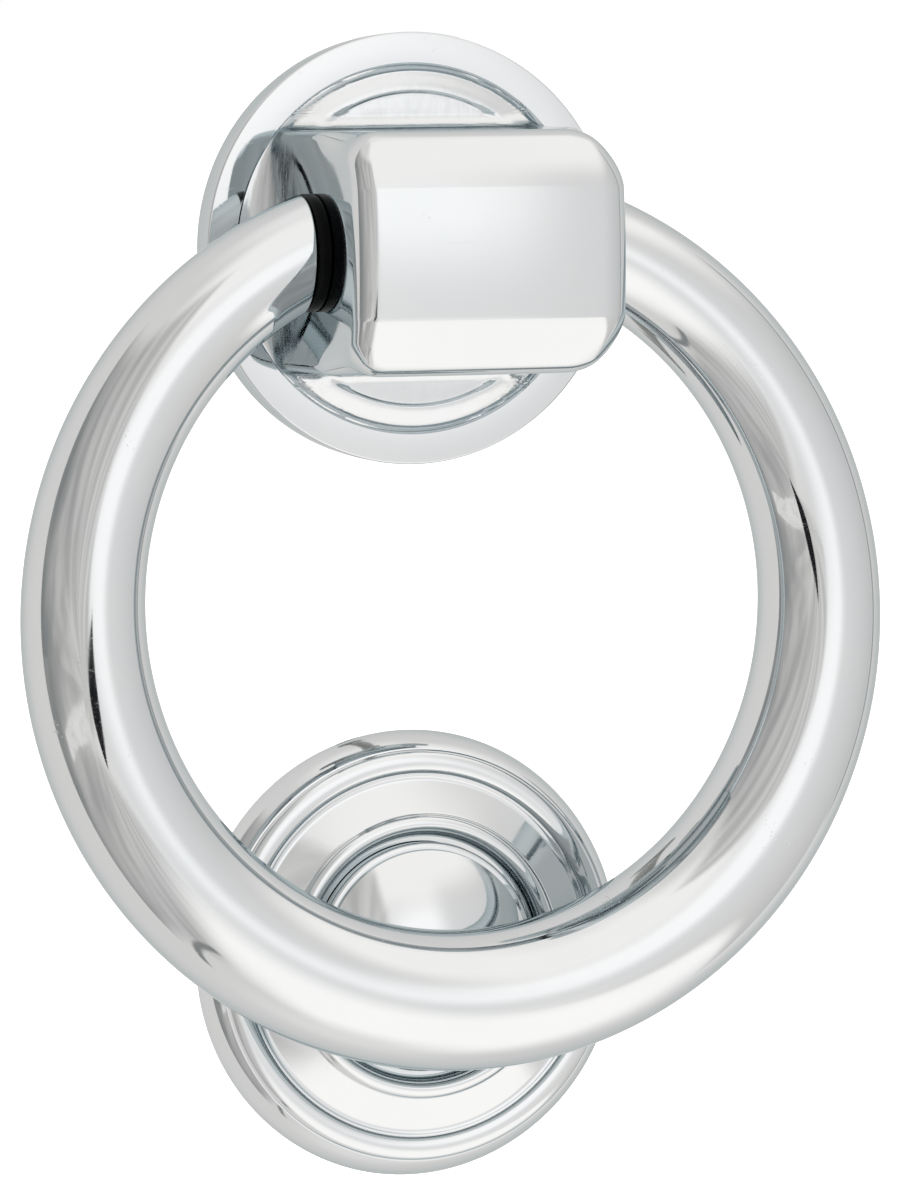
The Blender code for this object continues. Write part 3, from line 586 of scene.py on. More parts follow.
def build_ring():
    """The ring, its pivot pin and the two grub screws that lock them together."""
    hung = hanging()
    tools = []
    hole = turned_mesh("grub_hole", filleted([(0, 12 * MM, 0), (GRUB_HOLE_RADIUS, 12 * MM, 0),
                                              (GRUB_HOLE_RADIUS, PIN_RADIUS, 0), (0, PIN_RADIUS, 0)]), 48)
    for side in (1, -1):
        tools.append((hole, Matrix.Translation((side * GRUB_X, 0, 0)) @ INWARD))
    mesh = combine(ring_mesh(), tools)
    piece("polished_ring", mesh, CHROME_RING, "ring", "knocker_ring", hung, crease=30)

    waist = PIN_RADIUS - 0.5 * MM
    half = [(0, PIN_HALF_LENGTH, 0), (PIN_RADIUS - 0.1 * MM, PIN_HALF_LENGTH, 0.35 * MM),
            (PIN_RADIUS, PIN_HALF_LENGTH - 0.8 * MM, 0.3 * MM), (PIN_RADIUS, GRUB_X + 1.2 * MM, 0.1 * MM),
            (waist, GRUB_X + 0.4 * MM, 0.1 * MM), (waist, GRUB_X - 0.4 * MM, 0.1 * MM),
            (PIN_RADIUS, GRUB_X - 1.2 * MM, 0.1 * MM)]
    outline = filleted(half + [(x, -z, fillet) for x, z, fillet in reversed(half)], 3)
    piece("turned_pin", turned_mesh("pin", outline, 64), ZINC_STEEL, "ring", "pivot_pin",
          hung @ RIGHTWARD)

    foot = PIN_RADIUS + 0.3 * MM
    top = foot + GRUB_LENGTH
    grub = [(0, top, 0), (GRUB_RADIUS, top, 0.3 * MM), (GRUB_RADIUS, foot + 0.7 * MM, 0.1 * MM),
            (0.7 * MM, foot, 0.1 * MM), (0, foot + 0.3 * MM, 0)]
    socket = prism_mesh("socket", hexagon(1.5 * MM), top - 1.3 * MM, top + 1 * MM)
    for side, label in ((1, "right"), (-1, "left")):
        mesh = combine(turned_mesh("grub", filleted(grub, 4), 48), [(socket, Matrix.Identity(4))])
        piece("socket_grub_" + label, mesh, DARK_STEEL, "ring", "ring_grub_screw_" + label,
              hung @ Matrix.Translation((side * GRUB_X, 0, 0)) @ INWARD)


def build_bushes():
    """A flanged nylon bush in each end of the block's bore."""
    bore = PIN_RADIUS + 0.15 * MM
    top = RING_END_X - BLOCK_HALF_WIDTH - BUSH_GAP
    profile = filleted([(bore, top, 0.2 * MM), (BUSH_FLANGE_RADIUS, top, 0.35 * MM),
                        (BUSH_FLANGE_RADIUS, BUSH_GAP, 0.15 * MM), (BUSH_SLEEVE_RADIUS, BUSH_GAP, 0),
                        (BUSH_SLEEVE_RADIUS, -BUSH_SLEEVE_LENGTH, 0.4 * MM),
                        (bore, -BUSH_SLEEVE_LENGTH, 0.3 * MM)])
    for side, label, turn in ((1, "right", RIGHTWARD), (-1, "left", LEFTWARD)):
        place = Matrix.Translation((side * BLOCK_HALF_WIDTH, PIVOT.y, PIVOT.z)) @ turn
        piece("moulded_bush_" + label, turned_mesh("bush_" + label, profile, 112, closed=True), NYLON_WITH_PAINTED_SHADE,
              "door_fixed", "bush_" + label, place)


# ---------------------------------------------------------------- strike plate

def build_strike():
    """The strike plate's turned mouldings and the domed button in its well."""
    bore = STUD_RADIUS + 0.3 * MM
    recess_inner, recess_outer = BACK_RECESS_RADII
    groove_inner, groove_middle = BUTTON_RADIUS + 0.1 * MM, BUTTON_RADIUS + 0.5 * MM
    outline = [(bore, WELL_DEPTH), (groove_inner, WELL_DEPTH), (groove_inner, GROOVE_DEPTH),
               (groove_middle, GROOVE_DEPTH)]
    outline += arc((groove_middle, GROOVE_DEPTH + 0.5 * MM), (0.5 * MM, 0.5 * MM), -80, 0, 8)
    outline += arc((15.45 * MM, 5.25 * MM), (1.15 * MM, 1.15 * MM), 180, 32, 28)
    outline += arc((17.1 * MM, 6.28 * MM), (0.8 * MM, 0.8 * MM), -148, -108, 6)
    outline += arc((20.5 * MM, 5.0 * MM), (1.1 * MM, 1.1 * MM), -108, -66, 10)
    outline += arc((22.4 * MM, 3.62 * MM), (1.4 * MM, 0.72 * MM), 150, 8, 28)
    outline += [(23.9 * MM, 3.55 * MM)]
    outline += arc((19.885 * MM, -0.97 * MM), (6.15 * MM, 6.15 * MM), 47, 11, 22)
    outline += [(STRIKE_RADIUS, 0.0), (recess_outer, 0.0), (recess_outer, BACK_RECESS_DEPTH),
                (recess_inner, BACK_RECESS_DEPTH), (recess_inner, 0.0), (bore, 0.0)]
    place = Matrix.Translation((0, 0, STRIKE_HEIGHT)) @ OUTWARD
    piece("turned_strike_plate", turned_mesh("strike", outline, 256, closed=True), CHROME_STRIKE,
          "door_fixed", "strike_plate", place, crease=26)

    rise = BUTTON_PEAK - BUTTON_DOME_FOOT
    sphere = (BUTTON_DOME_RADIUS ** 2 + rise ** 2) / (2 * rise)
    rim_angle = math.degrees(math.acos(BUTTON_DOME_RADIUS / sphere))
    base = WELL_DEPTH + 0.3 * MM
    edge = 0.5 * MM
    outline = arc((0, BUTTON_PEAK - sphere), (sphere, sphere), 90, rim_angle, 40)
    outline += [(BUTTON_DOME_RADIUS + 0.1 * MM, BUTTON_SHOULDER)]
    outline += arc((BUTTON_RADIUS - edge, BUTTON_SHOULDER - edge), (edge, edge), 90, 0, 8)
    outline += [(BUTTON_RADIUS, base), (bore, base), (bore, STUD_HOLE_DEPTH), (0, STUD_HOLE_DEPTH)]
    piece("domed_button", turned_mesh("button", outline, 224), CHROME_STRIKE, "door_fixed",
          "strike_button", place, crease=26)


# ---------------------------------------------------------------- fixings through the door

def thread_mesh(name, low, high, radius=STUD_RADIUS, around=48):
    """A threaded rod about local Z with chamfered ends."""
    per_turn = 12
    rows_count = round((high - low) / THREAD_PITCH * per_turn)
    chamfer = 0.7 * MM

    def build(made):
        rows = []
        for index in range(rows_count + 1):
            height = blend_between(low, high, index / rows_count)
            row = []
            limit = radius - max(0.0, chamfer - min(height - low, high - height))
            for step in range(around):
                phase = (height / THREAD_PITCH - step / around) % 1.0
                crest = min(1.0, abs(2 * phase - 1) * 1.35)
                reach = min(limit, radius - THREAD_DEPTH * (1 - crest))
                turn = math.tau * step / around
                row.append(made.verts.new((reach * math.cos(turn), reach * math.sin(turn), height)))
            rows.append(row)
        join_rows(made, rows)
        made.faces.new(rows[0])
        made.faces.new(rows[-1])
    return mesh_from(name, build)


def spring_washer_mesh(name, inner, outer, low, high):
    """A split ring of square wire whose two ends stand slightly apart."""
    steps, slit, twist = 96, math.radians(10), 0.12 * MM
    wire = filleted([(inner, high, 0.15 * MM), (outer, high, 0.15 * MM), (outer, low, 0.15 * MM),
                     (inner, low, 0.15 * MM)], 3)

    def build(made):
        rows = []
        for index in range(steps + 1):
            share = index / steps
            turn = blend_between(slit, math.tau - slit, share)
            rise = twist * (2 * share - 1)
            rows.append([made.verts.new((x * math.cos(turn), x * math.sin(turn), z + rise))
                         for x, z in wire])
        join_rows(made, rows)
        made.faces.new(rows[0])
        made.faces.new(rows[-1])
    return mesh_from(name, build)


def nut_mesh(name, base):
    """A domed nut: a hexagon with turned-down corners, a dome and a blind hole."""
    top = base + NUT_HEX_HEIGHT
    peak = base + NUT_HEIGHT
    bore, bore_top = STUD_RADIUS + 0.1 * MM, base + NUT_BORE_DEPTH
    outer, chamfer, steps = NUT_ACROSS_FLATS / math.sqrt(3), 0.55 * MM, 10
    rise = [(outer - 2 * chamfer * (1 - step / steps), chamfer * step / steps) for step in range(steps + 1)]
    outline = [(0, bore_top), (bore, bore_top), (bore, base + 0.5 * MM), (bore + 0.5 * MM, base)]
    outline += [(radius, base + height) for radius, height in rise]
    outline += [(radius, top - height) for radius, height in reversed(rise)]
    outline += arc((0, top), (NUT_DOME_RADIUS, peak - top), 0, 90, 24)
    around = 144
    turns = [math.tau * index / around for index in range(around)]
    flats = [NUT_ACROSS_FLATS / 2 / math.cos(turn % (math.pi / 3) - math.pi / 6) for turn in turns]

    def build(made):
        rows = []
        for radius, height in outline:
            reaches = [min(max(radius, 0.0001 * MM), flat) for flat in flats]
            rows.append([made.verts.new((reach * math.cos(turn), reach * math.sin(turn), height))
                         for turn, reach in zip(turns, reaches)])
        join_rows(made, rows)
        bmesh.ops.remove_doubles(made, verts=made.verts, dist=0.001 * MM)
        bmesh.ops.dissolve_degenerate(made, edges=made.edges, dist=0.0002 * MM)
    return mesh_from(name, build)


def build_fixing(label, height):
    """Stud, flat washer, spring washer and domed nut that hold one casting."""
    place = Matrix.Translation((0, DOOR_INSIDE, height)) @ INWARD

    def span(node):
        low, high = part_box(label + node)
        return low.y - DOOR_INSIDE, high.y - DOOR_INSIDE

    low, high = span("_stud")
    mesh = thread_mesh("stud", low, high)
    piece(label + "_threaded_stud", mesh, ZINC_STEEL, "door_fixed", label + "_stud", place,
          crease=80)
    low, high = span("_washer")
    bore, outer = STUD_RADIUS + 0.2 * MM, 6.0 * MM
    outline = filleted([(bore, high, 0.15 * MM), (outer, high, 0.35 * MM), (outer, low, 0.1 * MM),
                        (bore, low, 0.15 * MM)], 4)
    mesh = turned_mesh("washer", outline, 128, closed=True)
    piece(label + "_flat_washer", mesh, ZINC_STEEL, "door_fixed", label + "_washer", place)
    low, high = span("_spring_washer")
    mesh = spring_washer_mesh("spring_washer", STUD_RADIUS + 0.2 * MM, 5.6 * MM, low, high)
    piece(label + "_split_washer", mesh, DARK_STEEL, "door_fixed", label + "_spring_washer",
          place)
    low, high = span("_dome_nut")
    mesh = nut_mesh("nut", low)
    piece(label + "_acorn_nut", mesh, CHROME_NUT, "door_fixed", label + "_dome_nut", place,
          crease=24)


def build_pegs():
    """Two locating pegs in the back of the rose."""
    for side, label in ((1, "upper"), (-1, "lower")):
        low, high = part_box("locating_peg_" + label)
        outline = filleted([(0, -low.y, 0), (PEG_RADIUS, -low.y, 0.3 * MM),
                            (PEG_RADIUS, -high.y + 0.9 * MM, 0.3 * MM),
                            (PEG_RADIUS - 0.6 * MM, -high.y, 0.25 * MM), (0, -high.y, 0)], 4)
        place = Matrix.Translation((0, 0, side * PEG_OFFSET)) @ OUTWARD
        piece("peg_" + label, turned_mesh("peg", outline, 64), ZINC_STEEL, "door_fixed",
              "locating_peg_" + label, place)


# ---------------------------------------------------------------- materials

class Nodes:
    """Short calls for adding and joining shader nodes."""

    def __init__(self, tree):
        self.tree = tree

    def add(self, kind, **values):
        """A node, with its settings by name and its inputs by name or by number (i0, i1 and so on)."""
        node = self.tree.nodes.new("ShaderNode" + kind)
        for key, value in values.items():
            if hasattr(node, key) and key not in node.inputs:
                setattr(node, key, value)
                continue
            numbered = key[0] == "i" and key[1:].isdigit()
            slot = node.inputs[int(key[1:]) if numbered else key.replace("_", " ")]
            if isinstance(value, bpy.types.NodeSocket):
                self.tree.links.new(value, slot)
            else:
                slot.default_value = value
        return node

    def math(self, operation, first, second=0.0):
        """The result of one sum."""
        return self.add("Math", operation=operation, i0=first, i1=second).outputs[0]

    def plus(self, first, second):
        """The sum of two values."""
        return self.math("ADD", first, second)

    def minus(self, first, second):
        """The first value less the second."""
        return self.math("SUBTRACT", first, second)

    def times(self, first, second):
        """The product of two values."""
        return self.math("MULTIPLY", first, second)

    def reach(self, across, up):
        """The length of the diagonal over two values."""
        return self.math("SQRT", self.plus(self.times(across, across), self.times(up, up)))

    def mix(self, share, first, second):
        """A value a share of the way between two values."""
        return self.add("Mix", data_type="FLOAT", i0=share, i2=first, i3=second).outputs[0]

    def colours(self, share, first, second):
        """A mix of two colours."""
        return self.add("Mix", data_type="RGBA", i0=share, i6=first, i7=second).outputs[2]

    def ramp(self, value, low, high):
        """0 below low, 1 above high, smooth between."""
        return self.add("MapRange", interpolation_type="SMOOTHSTEP", Value=value, From_Min=low,
                        From_Max=high).outputs[0]

    def span(self, value, low, high, first, last):
        """From first to last in a straight line as the value goes from low to high."""
        return self.add("MapRange", Value=value, From_Min=low, From_Max=high, To_Min=first,
                        To_Max=last).outputs[0]

    def noise(self, vector, scale, detail=3.0, roughness=0.5):
        """Noise from 0 to 1."""
        made = self.add("TexNoise", Vector=vector, Scale=scale, Detail=detail, Roughness=roughness)
        return made.outputs[0]

    def stretched(self, vector, factors):
        """A vector stretched along its axes."""
        return self.add("Mapping", Vector=vector, Scale=factors).outputs[0]


def new_material(name):
    """A Principled material: its helper, its shader node and its object coordinates."""
    made = bpy.data.materials.new(name)
    made.use_nodes = True
    nodes = Nodes(made.node_tree)
    place = nodes.add("TexCoord").outputs["Object"]
    return made, nodes, made.node_tree.nodes["Principled BSDF"], place


CHROME_COLOUR = (0.548, 0.598, 0.618)     # what chromium plate gives back at each reflection
GRAZING_TINT = (0.60, 0.66, 0.68, 1)      # keeps the metals from turning white at glancing angles


def rise_and_tilt(nodes, height, distance, under=None, strength=1.0):
    """A bumped normal from a height of 0 to 1 that stands for a distance in metres."""
    bump = nodes.add("Bump", Height=height, Distance=distance, Strength=strength)
    if under is not None:
        nodes.tree.links.new(under, bump.inputs["Normal"])
    return bump.outputs[0]


def scratches(nodes, place, turn, scale, keep):
    """Sparse hairline scratches lying one way, 0 or 1."""
    factors = (scale * 0.02, scale, scale)
    turned = nodes.add("Mapping", Vector=place, Rotation=turn, Scale=factors).outputs[0]
    return nodes.ramp(nodes.noise(turned, 1.0, 2.0, 0.4), keep, keep + 0.05)


def plated_surface(nodes, place, waviness):
    """Roughness, tint and bumped normal that all the chromed pieces share."""
    cloud = nodes.noise(place, 70.0, 4.0, 0.6)
    haze = nodes.noise(place, 420.0, 3.0, 0.55)
    hair = nodes.math("MAXIMUM", scratches(nodes, place, (0.3, 0.5, 0.2), 5200.0, 0.66),
                      scratches(nodes, place, (1.1, -0.4, 0.9), 4300.0, 0.67))
    rough = nodes.plus(nodes.times(nodes.ramp(cloud, 0.42, 0.75), 0.045), nodes.times(haze, 0.03))
    rough = nodes.plus(nodes.plus(rough, nodes.times(hair, 0.06)), 0.025)
    tint = nodes.colours(nodes.ramp(cloud, 0.3, 0.7), (0.541, 0.593, 0.615, 1), (0.556, 0.603, 0.621, 1))
    wave = rise_and_tilt(nodes, nodes.noise(place, 95.0, 2.0, 0.4), waviness)
    normal = rise_and_tilt(nodes, hair, 0.0000003, wave, strength=0.6)
    return rough, tint, normal, haze


def pits(nodes, place, scale):
    """Sparse pits in a casting, 0 or 1."""
    cells = nodes.add("TexVoronoi", Vector=place, Scale=scale).outputs["Distance"]
    chosen = nodes.ramp(nodes.noise(place, scale * 0.12, 1.0), 0.66, 0.72)
    return nodes.times(nodes.ramp(cells, 0.22, 0.08), chosen)


def finish_shader(nodes, shader, rough, tint, normal):
    """Join roughness, colour and normal to the shader."""
    shader.inputs["Specular Tint"].default_value = GRAZING_TINT
    nodes.tree.links.new(rough, shader.inputs["Roughness"])
    nodes.tree.links.new(tint, shader.inputs["Base Color"])
    nodes.tree.links.new(normal, shader.inputs["Normal"])


def cast_chrome():
    """Chrome of the upper casting: linished level on the front, left rougher in the moulding and flares."""
    made, nodes, shader, place = new_material("chrome_casting")
    rough, tint, normal, _ = plated_surface(nodes, place, 0.000009)
    parts = nodes.add("SeparateXYZ", Vector=place).outputs
    front = nodes.ramp(parts[1], -0.0285, -0.0315)
    foot = nodes.ramp(parts[1], -0.0125, -0.0075)
    level = nodes.noise(nodes.stretched(place, (55.0, 55.0, 3600.0)), 1.0, 3.0, 0.6)
    brushed = nodes.times(level, front)
    cast = nodes.noise(place, 950.0, 4.0, 0.65)
    lump = nodes.noise(place, 230.0, 2.0, 0.5)
    rim = nodes.reach(parts[0], parts[2])
    moulded = nodes.times(foot, nodes.ramp(rim, 0.0216, 0.0208))
    rough = nodes.plus(rough, nodes.times(brushed, 0.10))
    rough = nodes.plus(rough, nodes.times(moulded, nodes.times(cast, 0.26)))
    normal = rise_and_tilt(nodes, brushed, 0.0000006, normal)
    normal = rise_and_tilt(nodes, nodes.times(cast, moulded), 0.0000045, normal)
    normal = rise_and_tilt(nodes, nodes.times(lump, moulded), 0.00005, normal)
    streak = nodes.noise(nodes.stretched(place, (600.0, 1700.0, 170.0)), 1.0, 3.0, 0.6)
    normal = rise_and_tilt(nodes, nodes.times(streak, moulded), 0.00003, normal)
    normal = rise_and_tilt(nodes, pits(nodes, place, 2600.0), -0.000012, normal)
    shader.inputs["Metallic"].default_value = 1.0
    finish_shader(nodes, shader, rough, tint, normal)
    return made


def ring_chrome():
    """Chrome of the ring: deeply polished, a little wavy along the tube, with the odd tiny pit."""
    made, nodes, shader, place = new_material("chrome_ring")
    rough, tint, normal, _ = plated_surface(nodes, place, 0.000016)
    normal = rise_and_tilt(nodes, nodes.noise(place, 38.0, 1.0, 0.5), 0.00003, normal)
    normal = rise_and_tilt(nodes, pits(nodes, place, 1500.0), -0.000012, normal)
    shader.inputs["Metallic"].default_value = 1.0
    finish_shader(nodes, shader, rough, tint, normal)
    return made


def turned_chrome(name, marks):
    """Chrome over turned mouldings: fine rings round local Z show through the plate."""
    made, nodes, shader, place = new_material(name)
    rough, tint, normal, haze = plated_surface(nodes, place, 0.000008)
    parts = nodes.add("SeparateXYZ", Vector=place).outputs
    radius = nodes.reach(parts[0], parts[1])
    rings = nodes.add("CombineXYZ", X=nodes.times(radius, 5200.0),
                      Y=nodes.times(parts[2], 900.0)).outputs[0]
    groove = nodes.noise(rings, 1.0, 3.0, 0.6)
    patch = nodes.ramp(nodes.noise(place, 130.0, 3.0, 0.6), 0.40, 0.70)
    rough = nodes.plus(rough, nodes.times(nodes.times(groove, patch), 0.10))
    normal = rise_and_tilt(nodes, groove, marks, normal)
    normal = rise_and_tilt(nodes, haze, 0.000002, normal)
    shader.inputs["Metallic"].default_value = 1.0
    finish_shader(nodes, shader, rough, tint, normal)
    return made


def steel(name, dark, light, rough_low, rough_high, turned):
    """Bright-zinc or blackened steel: blotched colour, machining lines, worn and duller patches."""
    made, nodes, shader, place = new_material(name)
    blotch = nodes.noise(place, 260.0, 4.0, 0.65)
    grain = nodes.noise(place, 2200.0, 3.0, 0.6)
    lines = nodes.noise(nodes.stretched(place, turned), 1.0, 3.0, 0.6)
    worn = nodes.ramp(nodes.noise(place, 620.0, 4.0, 0.7), 0.58, 0.70)
    tint = nodes.colours(nodes.ramp(blotch, 0.3, 0.7), dark, light)
    tint = nodes.colours(nodes.times(worn, 0.35), tint, (0.55, 0.55, 0.54, 1))
    rough = nodes.mix(nodes.times(blotch, grain), rough_low, rough_high * 1.6)
    normal = rise_and_tilt(nodes, lines, 0.0000025)
    normal = rise_and_tilt(nodes, grain, 0.0000012, normal)
    shader.inputs["Metallic"].default_value = 1.0
    finish_shader(nodes, shader, rough, tint, normal)
    return made


def black_nylon_and_painted_shade():
    """Moulded black nylon with painted shade: satin, with a faint grain, flow marks and lighter scuffs, its
    black colour and its reflection turned down below the nylon's own to paint the shade of the narrow gap
    between the chrome pieces.
    """
    made, nodes, shader, place = new_material("nylon_black_with_painted_shade")
    grain = nodes.noise(place, 1900.0, 4.0, 0.6)
    flow = nodes.noise(nodes.stretched(place, (260.0, 260.0, 900.0)), 1.0, 3.0, 0.6)
    scuff = nodes.ramp(nodes.noise(place, 700.0, 4.0, 0.7), 0.60, 0.72)
    # painted shade: the black here is darker than the nylon's own, standing for the shade of the gap
    # between the chrome pieces
    tint = nodes.colours(flow, (0.0008, 0.0009, 0.0010, 1), (0.0025, 0.0026, 0.0029, 1))
    tint = nodes.colours(nodes.times(scuff, 0.3), tint, (0.014, 0.0145, 0.0155, 1))
    rough = nodes.plus(nodes.times(grain, 0.22), 0.14)
    rough = nodes.plus(rough, nodes.times(scuff, 0.12))
    normal = rise_and_tilt(nodes, flow, 0.00003)
    normal = rise_and_tilt(nodes, grain, 0.000004, normal)
    # painted shade: the nylon's reflection is turned nearly off, so the bush stays dark as if in the shade
    # of the gap it sits in
    shader.inputs["Specular IOR Level"].default_value = 0.05
    finish_shader(nodes, shader, rough, tint, normal)
    return made


def pale_floor():
    """A plain white studio floor with the faintest mottle and grain."""
    made, nodes, shader, place = new_material("pale_floor")
    mottle = nodes.noise(place, 1.7, 4.0, 0.55)
    grain = nodes.noise(place, 240.0, 3.0, 0.6)
    tint = nodes.colours(mottle, (0.90, 0.90, 0.90, 1), (0.93, 0.93, 0.93, 1))
    rough = nodes.plus(nodes.times(grain, 0.12), 0.62)
    normal = rise_and_tilt(nodes, grain, 0.00005)
    shader.inputs["Emission Color"].default_value = (1, 1, 1, 1)
    shader.inputs["Emission Strength"].default_value = 0.45
    finish_shader(nodes, shader, rough, tint, normal)
    return made


CHROME_CASTING = cast_chrome()
CHROME_RING = ring_chrome()
CHROME_STRIKE = turned_chrome("chrome_strike", 0.0000006)
CHROME_NUT = turned_chrome("chrome_nut", 0.0000004)
ZINC_STEEL = steel("zinc_steel_fine", (0.50, 0.52, 0.53, 1), (0.64, 0.63, 0.58, 1), 0.24, 0.42,
                   (300.0, 300.0, 3500.0))
DARK_STEEL = steel("dark_steel_fine", (0.085, 0.087, 0.09, 1), (0.17, 0.17, 0.175, 1), 0.33, 0.5,
                   (900.0, 900.0, 2600.0))
NYLON_WITH_PAINTED_SHADE = black_nylon_and_painted_shade()

build_casting()
build_ring()
build_bushes()
build_strike()
build_pegs()
build_fixing("body", 0.0)
build_fixing("strike", STRIKE_HEIGHT)


# ---------------------------------------------------------------- camera

CAMERA_TURN = math.radians(-19.89)      # negative is from the left
CAMERA_RISE = math.radians(3.29)
CAMERA_ROLL = math.radians(-0.6)
CAMERA_DISTANCE = 1215 * MM
CAMERA_LENS = 317.4                     # for a 36 mm sensor on the picture's long side
CAMERA_AIM = Vector((0.09, -15.0, -40.17)) * MM


def build_camera():
    """The camera, turned and raised about its aim and rolled a little."""
    level = Vector((math.cos(CAMERA_TURN), math.sin(CAMERA_TURN), 0.0))
    outward = Vector((math.sin(CAMERA_TURN), -math.cos(CAMERA_TURN), 0.0))
    back = outward * math.cos(CAMERA_RISE) + Vector((0.0, 0.0, math.sin(CAMERA_RISE)))
    upright = back.cross(level)
    right = level * math.cos(CAMERA_ROLL) + upright * math.sin(CAMERA_ROLL)
    up = upright * math.cos(CAMERA_ROLL) - level * math.sin(CAMERA_ROLL)
    data = bpy.data.cameras.new("camera")
    data.lens = CAMERA_LENS
    data.sensor_width = 36.0
    data.clip_start = 0.05
    data.clip_end = 100.0
    made = bpy.data.objects.new("camera", data)
    bpy.context.scene.collection.objects.link(made)
    facing = Matrix((right, up, back)).transposed().to_4x4()
    made.matrix_world = Matrix.Translation(CAMERA_AIM + back * CAMERA_DISTANCE) @ facing
    bpy.context.scene.camera = made


build_camera()


# ---------------------------------------------------------------- studio

FLOOR_HEIGHT = -0.16
FLOOR_REACH = 40.0


def build_floor():
    """A broad plain floor below the knocker, which the chrome doesn't reflect."""
    mesh = bpy.data.meshes.new("floor")
    made = bmesh.new()
    bmesh.ops.create_grid(made, x_segments=1, y_segments=1, size=FLOOR_REACH)
    made.to_mesh(mesh)
    made.free()
    floor = bpy.data.objects.new("floor", mesh)
    bpy.context.scene.collection.objects.link(floor)
    floor.location = (0, 0, FLOOR_HEIGHT)
    mesh.materials.append(pale_floor())
    floor.visible_glossy = False


FLAG_TOP = Vector((-48.6, -241.3, -27.9)) * MM          # the line a narrow black flag hangs along
FLAG_FOOT = Vector((-154.6, -305.5, -124.2)) * MM
FLAG_STRETCH = 1.04                                     # how far it goes down that line
FLAG_FACES = Vector((0.0, -24.0, -45.0)) * MM           # the point it is turned to
FLAG_HALF_WIDTH = 17.0 * MM
FLAG_OFFSET = 2.0 * MM                                  # how far its ends lie to one side of the line
FLAG_BOW = 11.0 * MM                                    # and how far its middle is bowed to the other
FLAG_STEPS = 40


def black_velvet():
    """Black velvet with a faint nap."""
    made, nodes, shader, place = new_material("black_velvet")
    nap = nodes.noise(place, 900.0, 3.0, 0.6)
    tint = nodes.colours(nap, (0.006, 0.006, 0.007, 1), (0.016, 0.016, 0.018, 1))
    rough = nodes.plus(nodes.times(nap, 0.1), 0.85)
    normal = rise_and_tilt(nodes, nap, 0.0002)
    shader.inputs["Specular IOR Level"].default_value = 0.0
    finish_shader(nodes, shader, rough, tint, normal)
    return made


def flag_edge(share, side):
    """Point of the flag's outline, a share of the way down one of its two sides."""
    run = FLAG_FOOT - FLAG_TOP
    along = run.normalized()
    facing = FLAG_FACES - (FLAG_TOP + FLAG_FOOT) / 2
    facing = (facing - along * facing.dot(along)).normalized()
    middle = FLAG_OFFSET - FLAG_BOW * math.sin(math.pi * share ** 1.5)
    half = FLAG_HALF_WIDTH * math.sin(math.pi * share) ** 0.8
    return FLAG_TOP + run * (share * FLAG_STRETCH) + along.cross(facing) * (middle + side * half)


def build_flag():
    """A narrow leaf-shaped flag that shows in the polished pieces and hides nothing from the camera."""
    outline = [flag_edge(step / FLAG_STEPS, 1) for step in range(FLAG_STEPS + 1)]
    outline += [flag_edge(step / FLAG_STEPS, -1) for step in range(FLAG_STEPS - 1, 0, -1)]
    mesh = bpy.data.meshes.new("flag")
    made = bmesh.new()
    made.faces.new([made.verts.new(point) for point in outline])
    made.to_mesh(mesh)
    made.free()
    flag = bpy.data.objects.new("flag", mesh)
    bpy.context.scene.collection.objects.link(flag)
    mesh.materials.append(black_velvet())
    flag.visible_camera = False
    flag.visible_diffuse = False
    flag.visible_shadow = False


def direction_angles(nodes):
    """Azimuth and elevation in degrees of a direction in the world: azimuth 0 is -Y and 90 is +X."""
    place = nodes.add("TexCoord").outputs["Generated"]
    parts = nodes.add("SeparateXYZ", Vector=place).outputs
    turn = nodes.math("ARCTAN2", parts[0], nodes.times(parts[1], -1.0))
    rise = nodes.math("ARCSINE", parts[2])
    return nodes.math("DEGREES", turn), nodes.math("DEGREES", rise)


def window(nodes, value, low, high, soft):
    """1 between low and high, 0 outside, with soft edges."""
    opened = nodes.ramp(value, low - soft, low + soft)
    closed = nodes.ramp(value, high + soft, high - soft)
    return nodes.times(opened, closed)


def slanted(nodes, across, up, factors, offset=0.0):
    """A weighted sum of azimuth and elevation."""
    first = nodes.times(across, factors[0])
    return nodes.plus(nodes.plus(first, nodes.times(up, factors[1])), offset)


def both(nodes, *masks):
    """The product of masks."""
    result = masks[0]
    for mask in masks[1:]:
        result = nodes.times(result, mask)
    return result


# Display tones, 0 black to 1 white, that the parts of the studio show in one reflection. Where the parts
# are is given below in degrees of turn (0 straight out from the door, 90 to the right) and rise.
WALL_TONE = 0.80
CEILING_TONE = 0.93
OVERHEAD_TONE = 0.885
TABLE_TONE = 0.968
UNDERSIDE_TONE = 0.85
FRONT_GLOW_TONE = 0.97
PANEL_TONES = (0.83, 0.75)              # of the panel on the right, at its near and far end
SLIT_TONE = 0.58
CLOTH_TONES = (0.605, 0.745)            # of the cloth on the left, at its far and near end
FOLD_CONTRAST = 0.11
CLOTH_SHADE_TONE = 0.36
HEM_TONE = 0.50
PATCH_TONE = 0.79
DISPLAY_GAMMA = 2.2
RED_AND_BLUE_SHARES = ((1.0, 0.985, 0.94), (0.988, 1.01, 1.015))   # of green: usual, level in front, dark


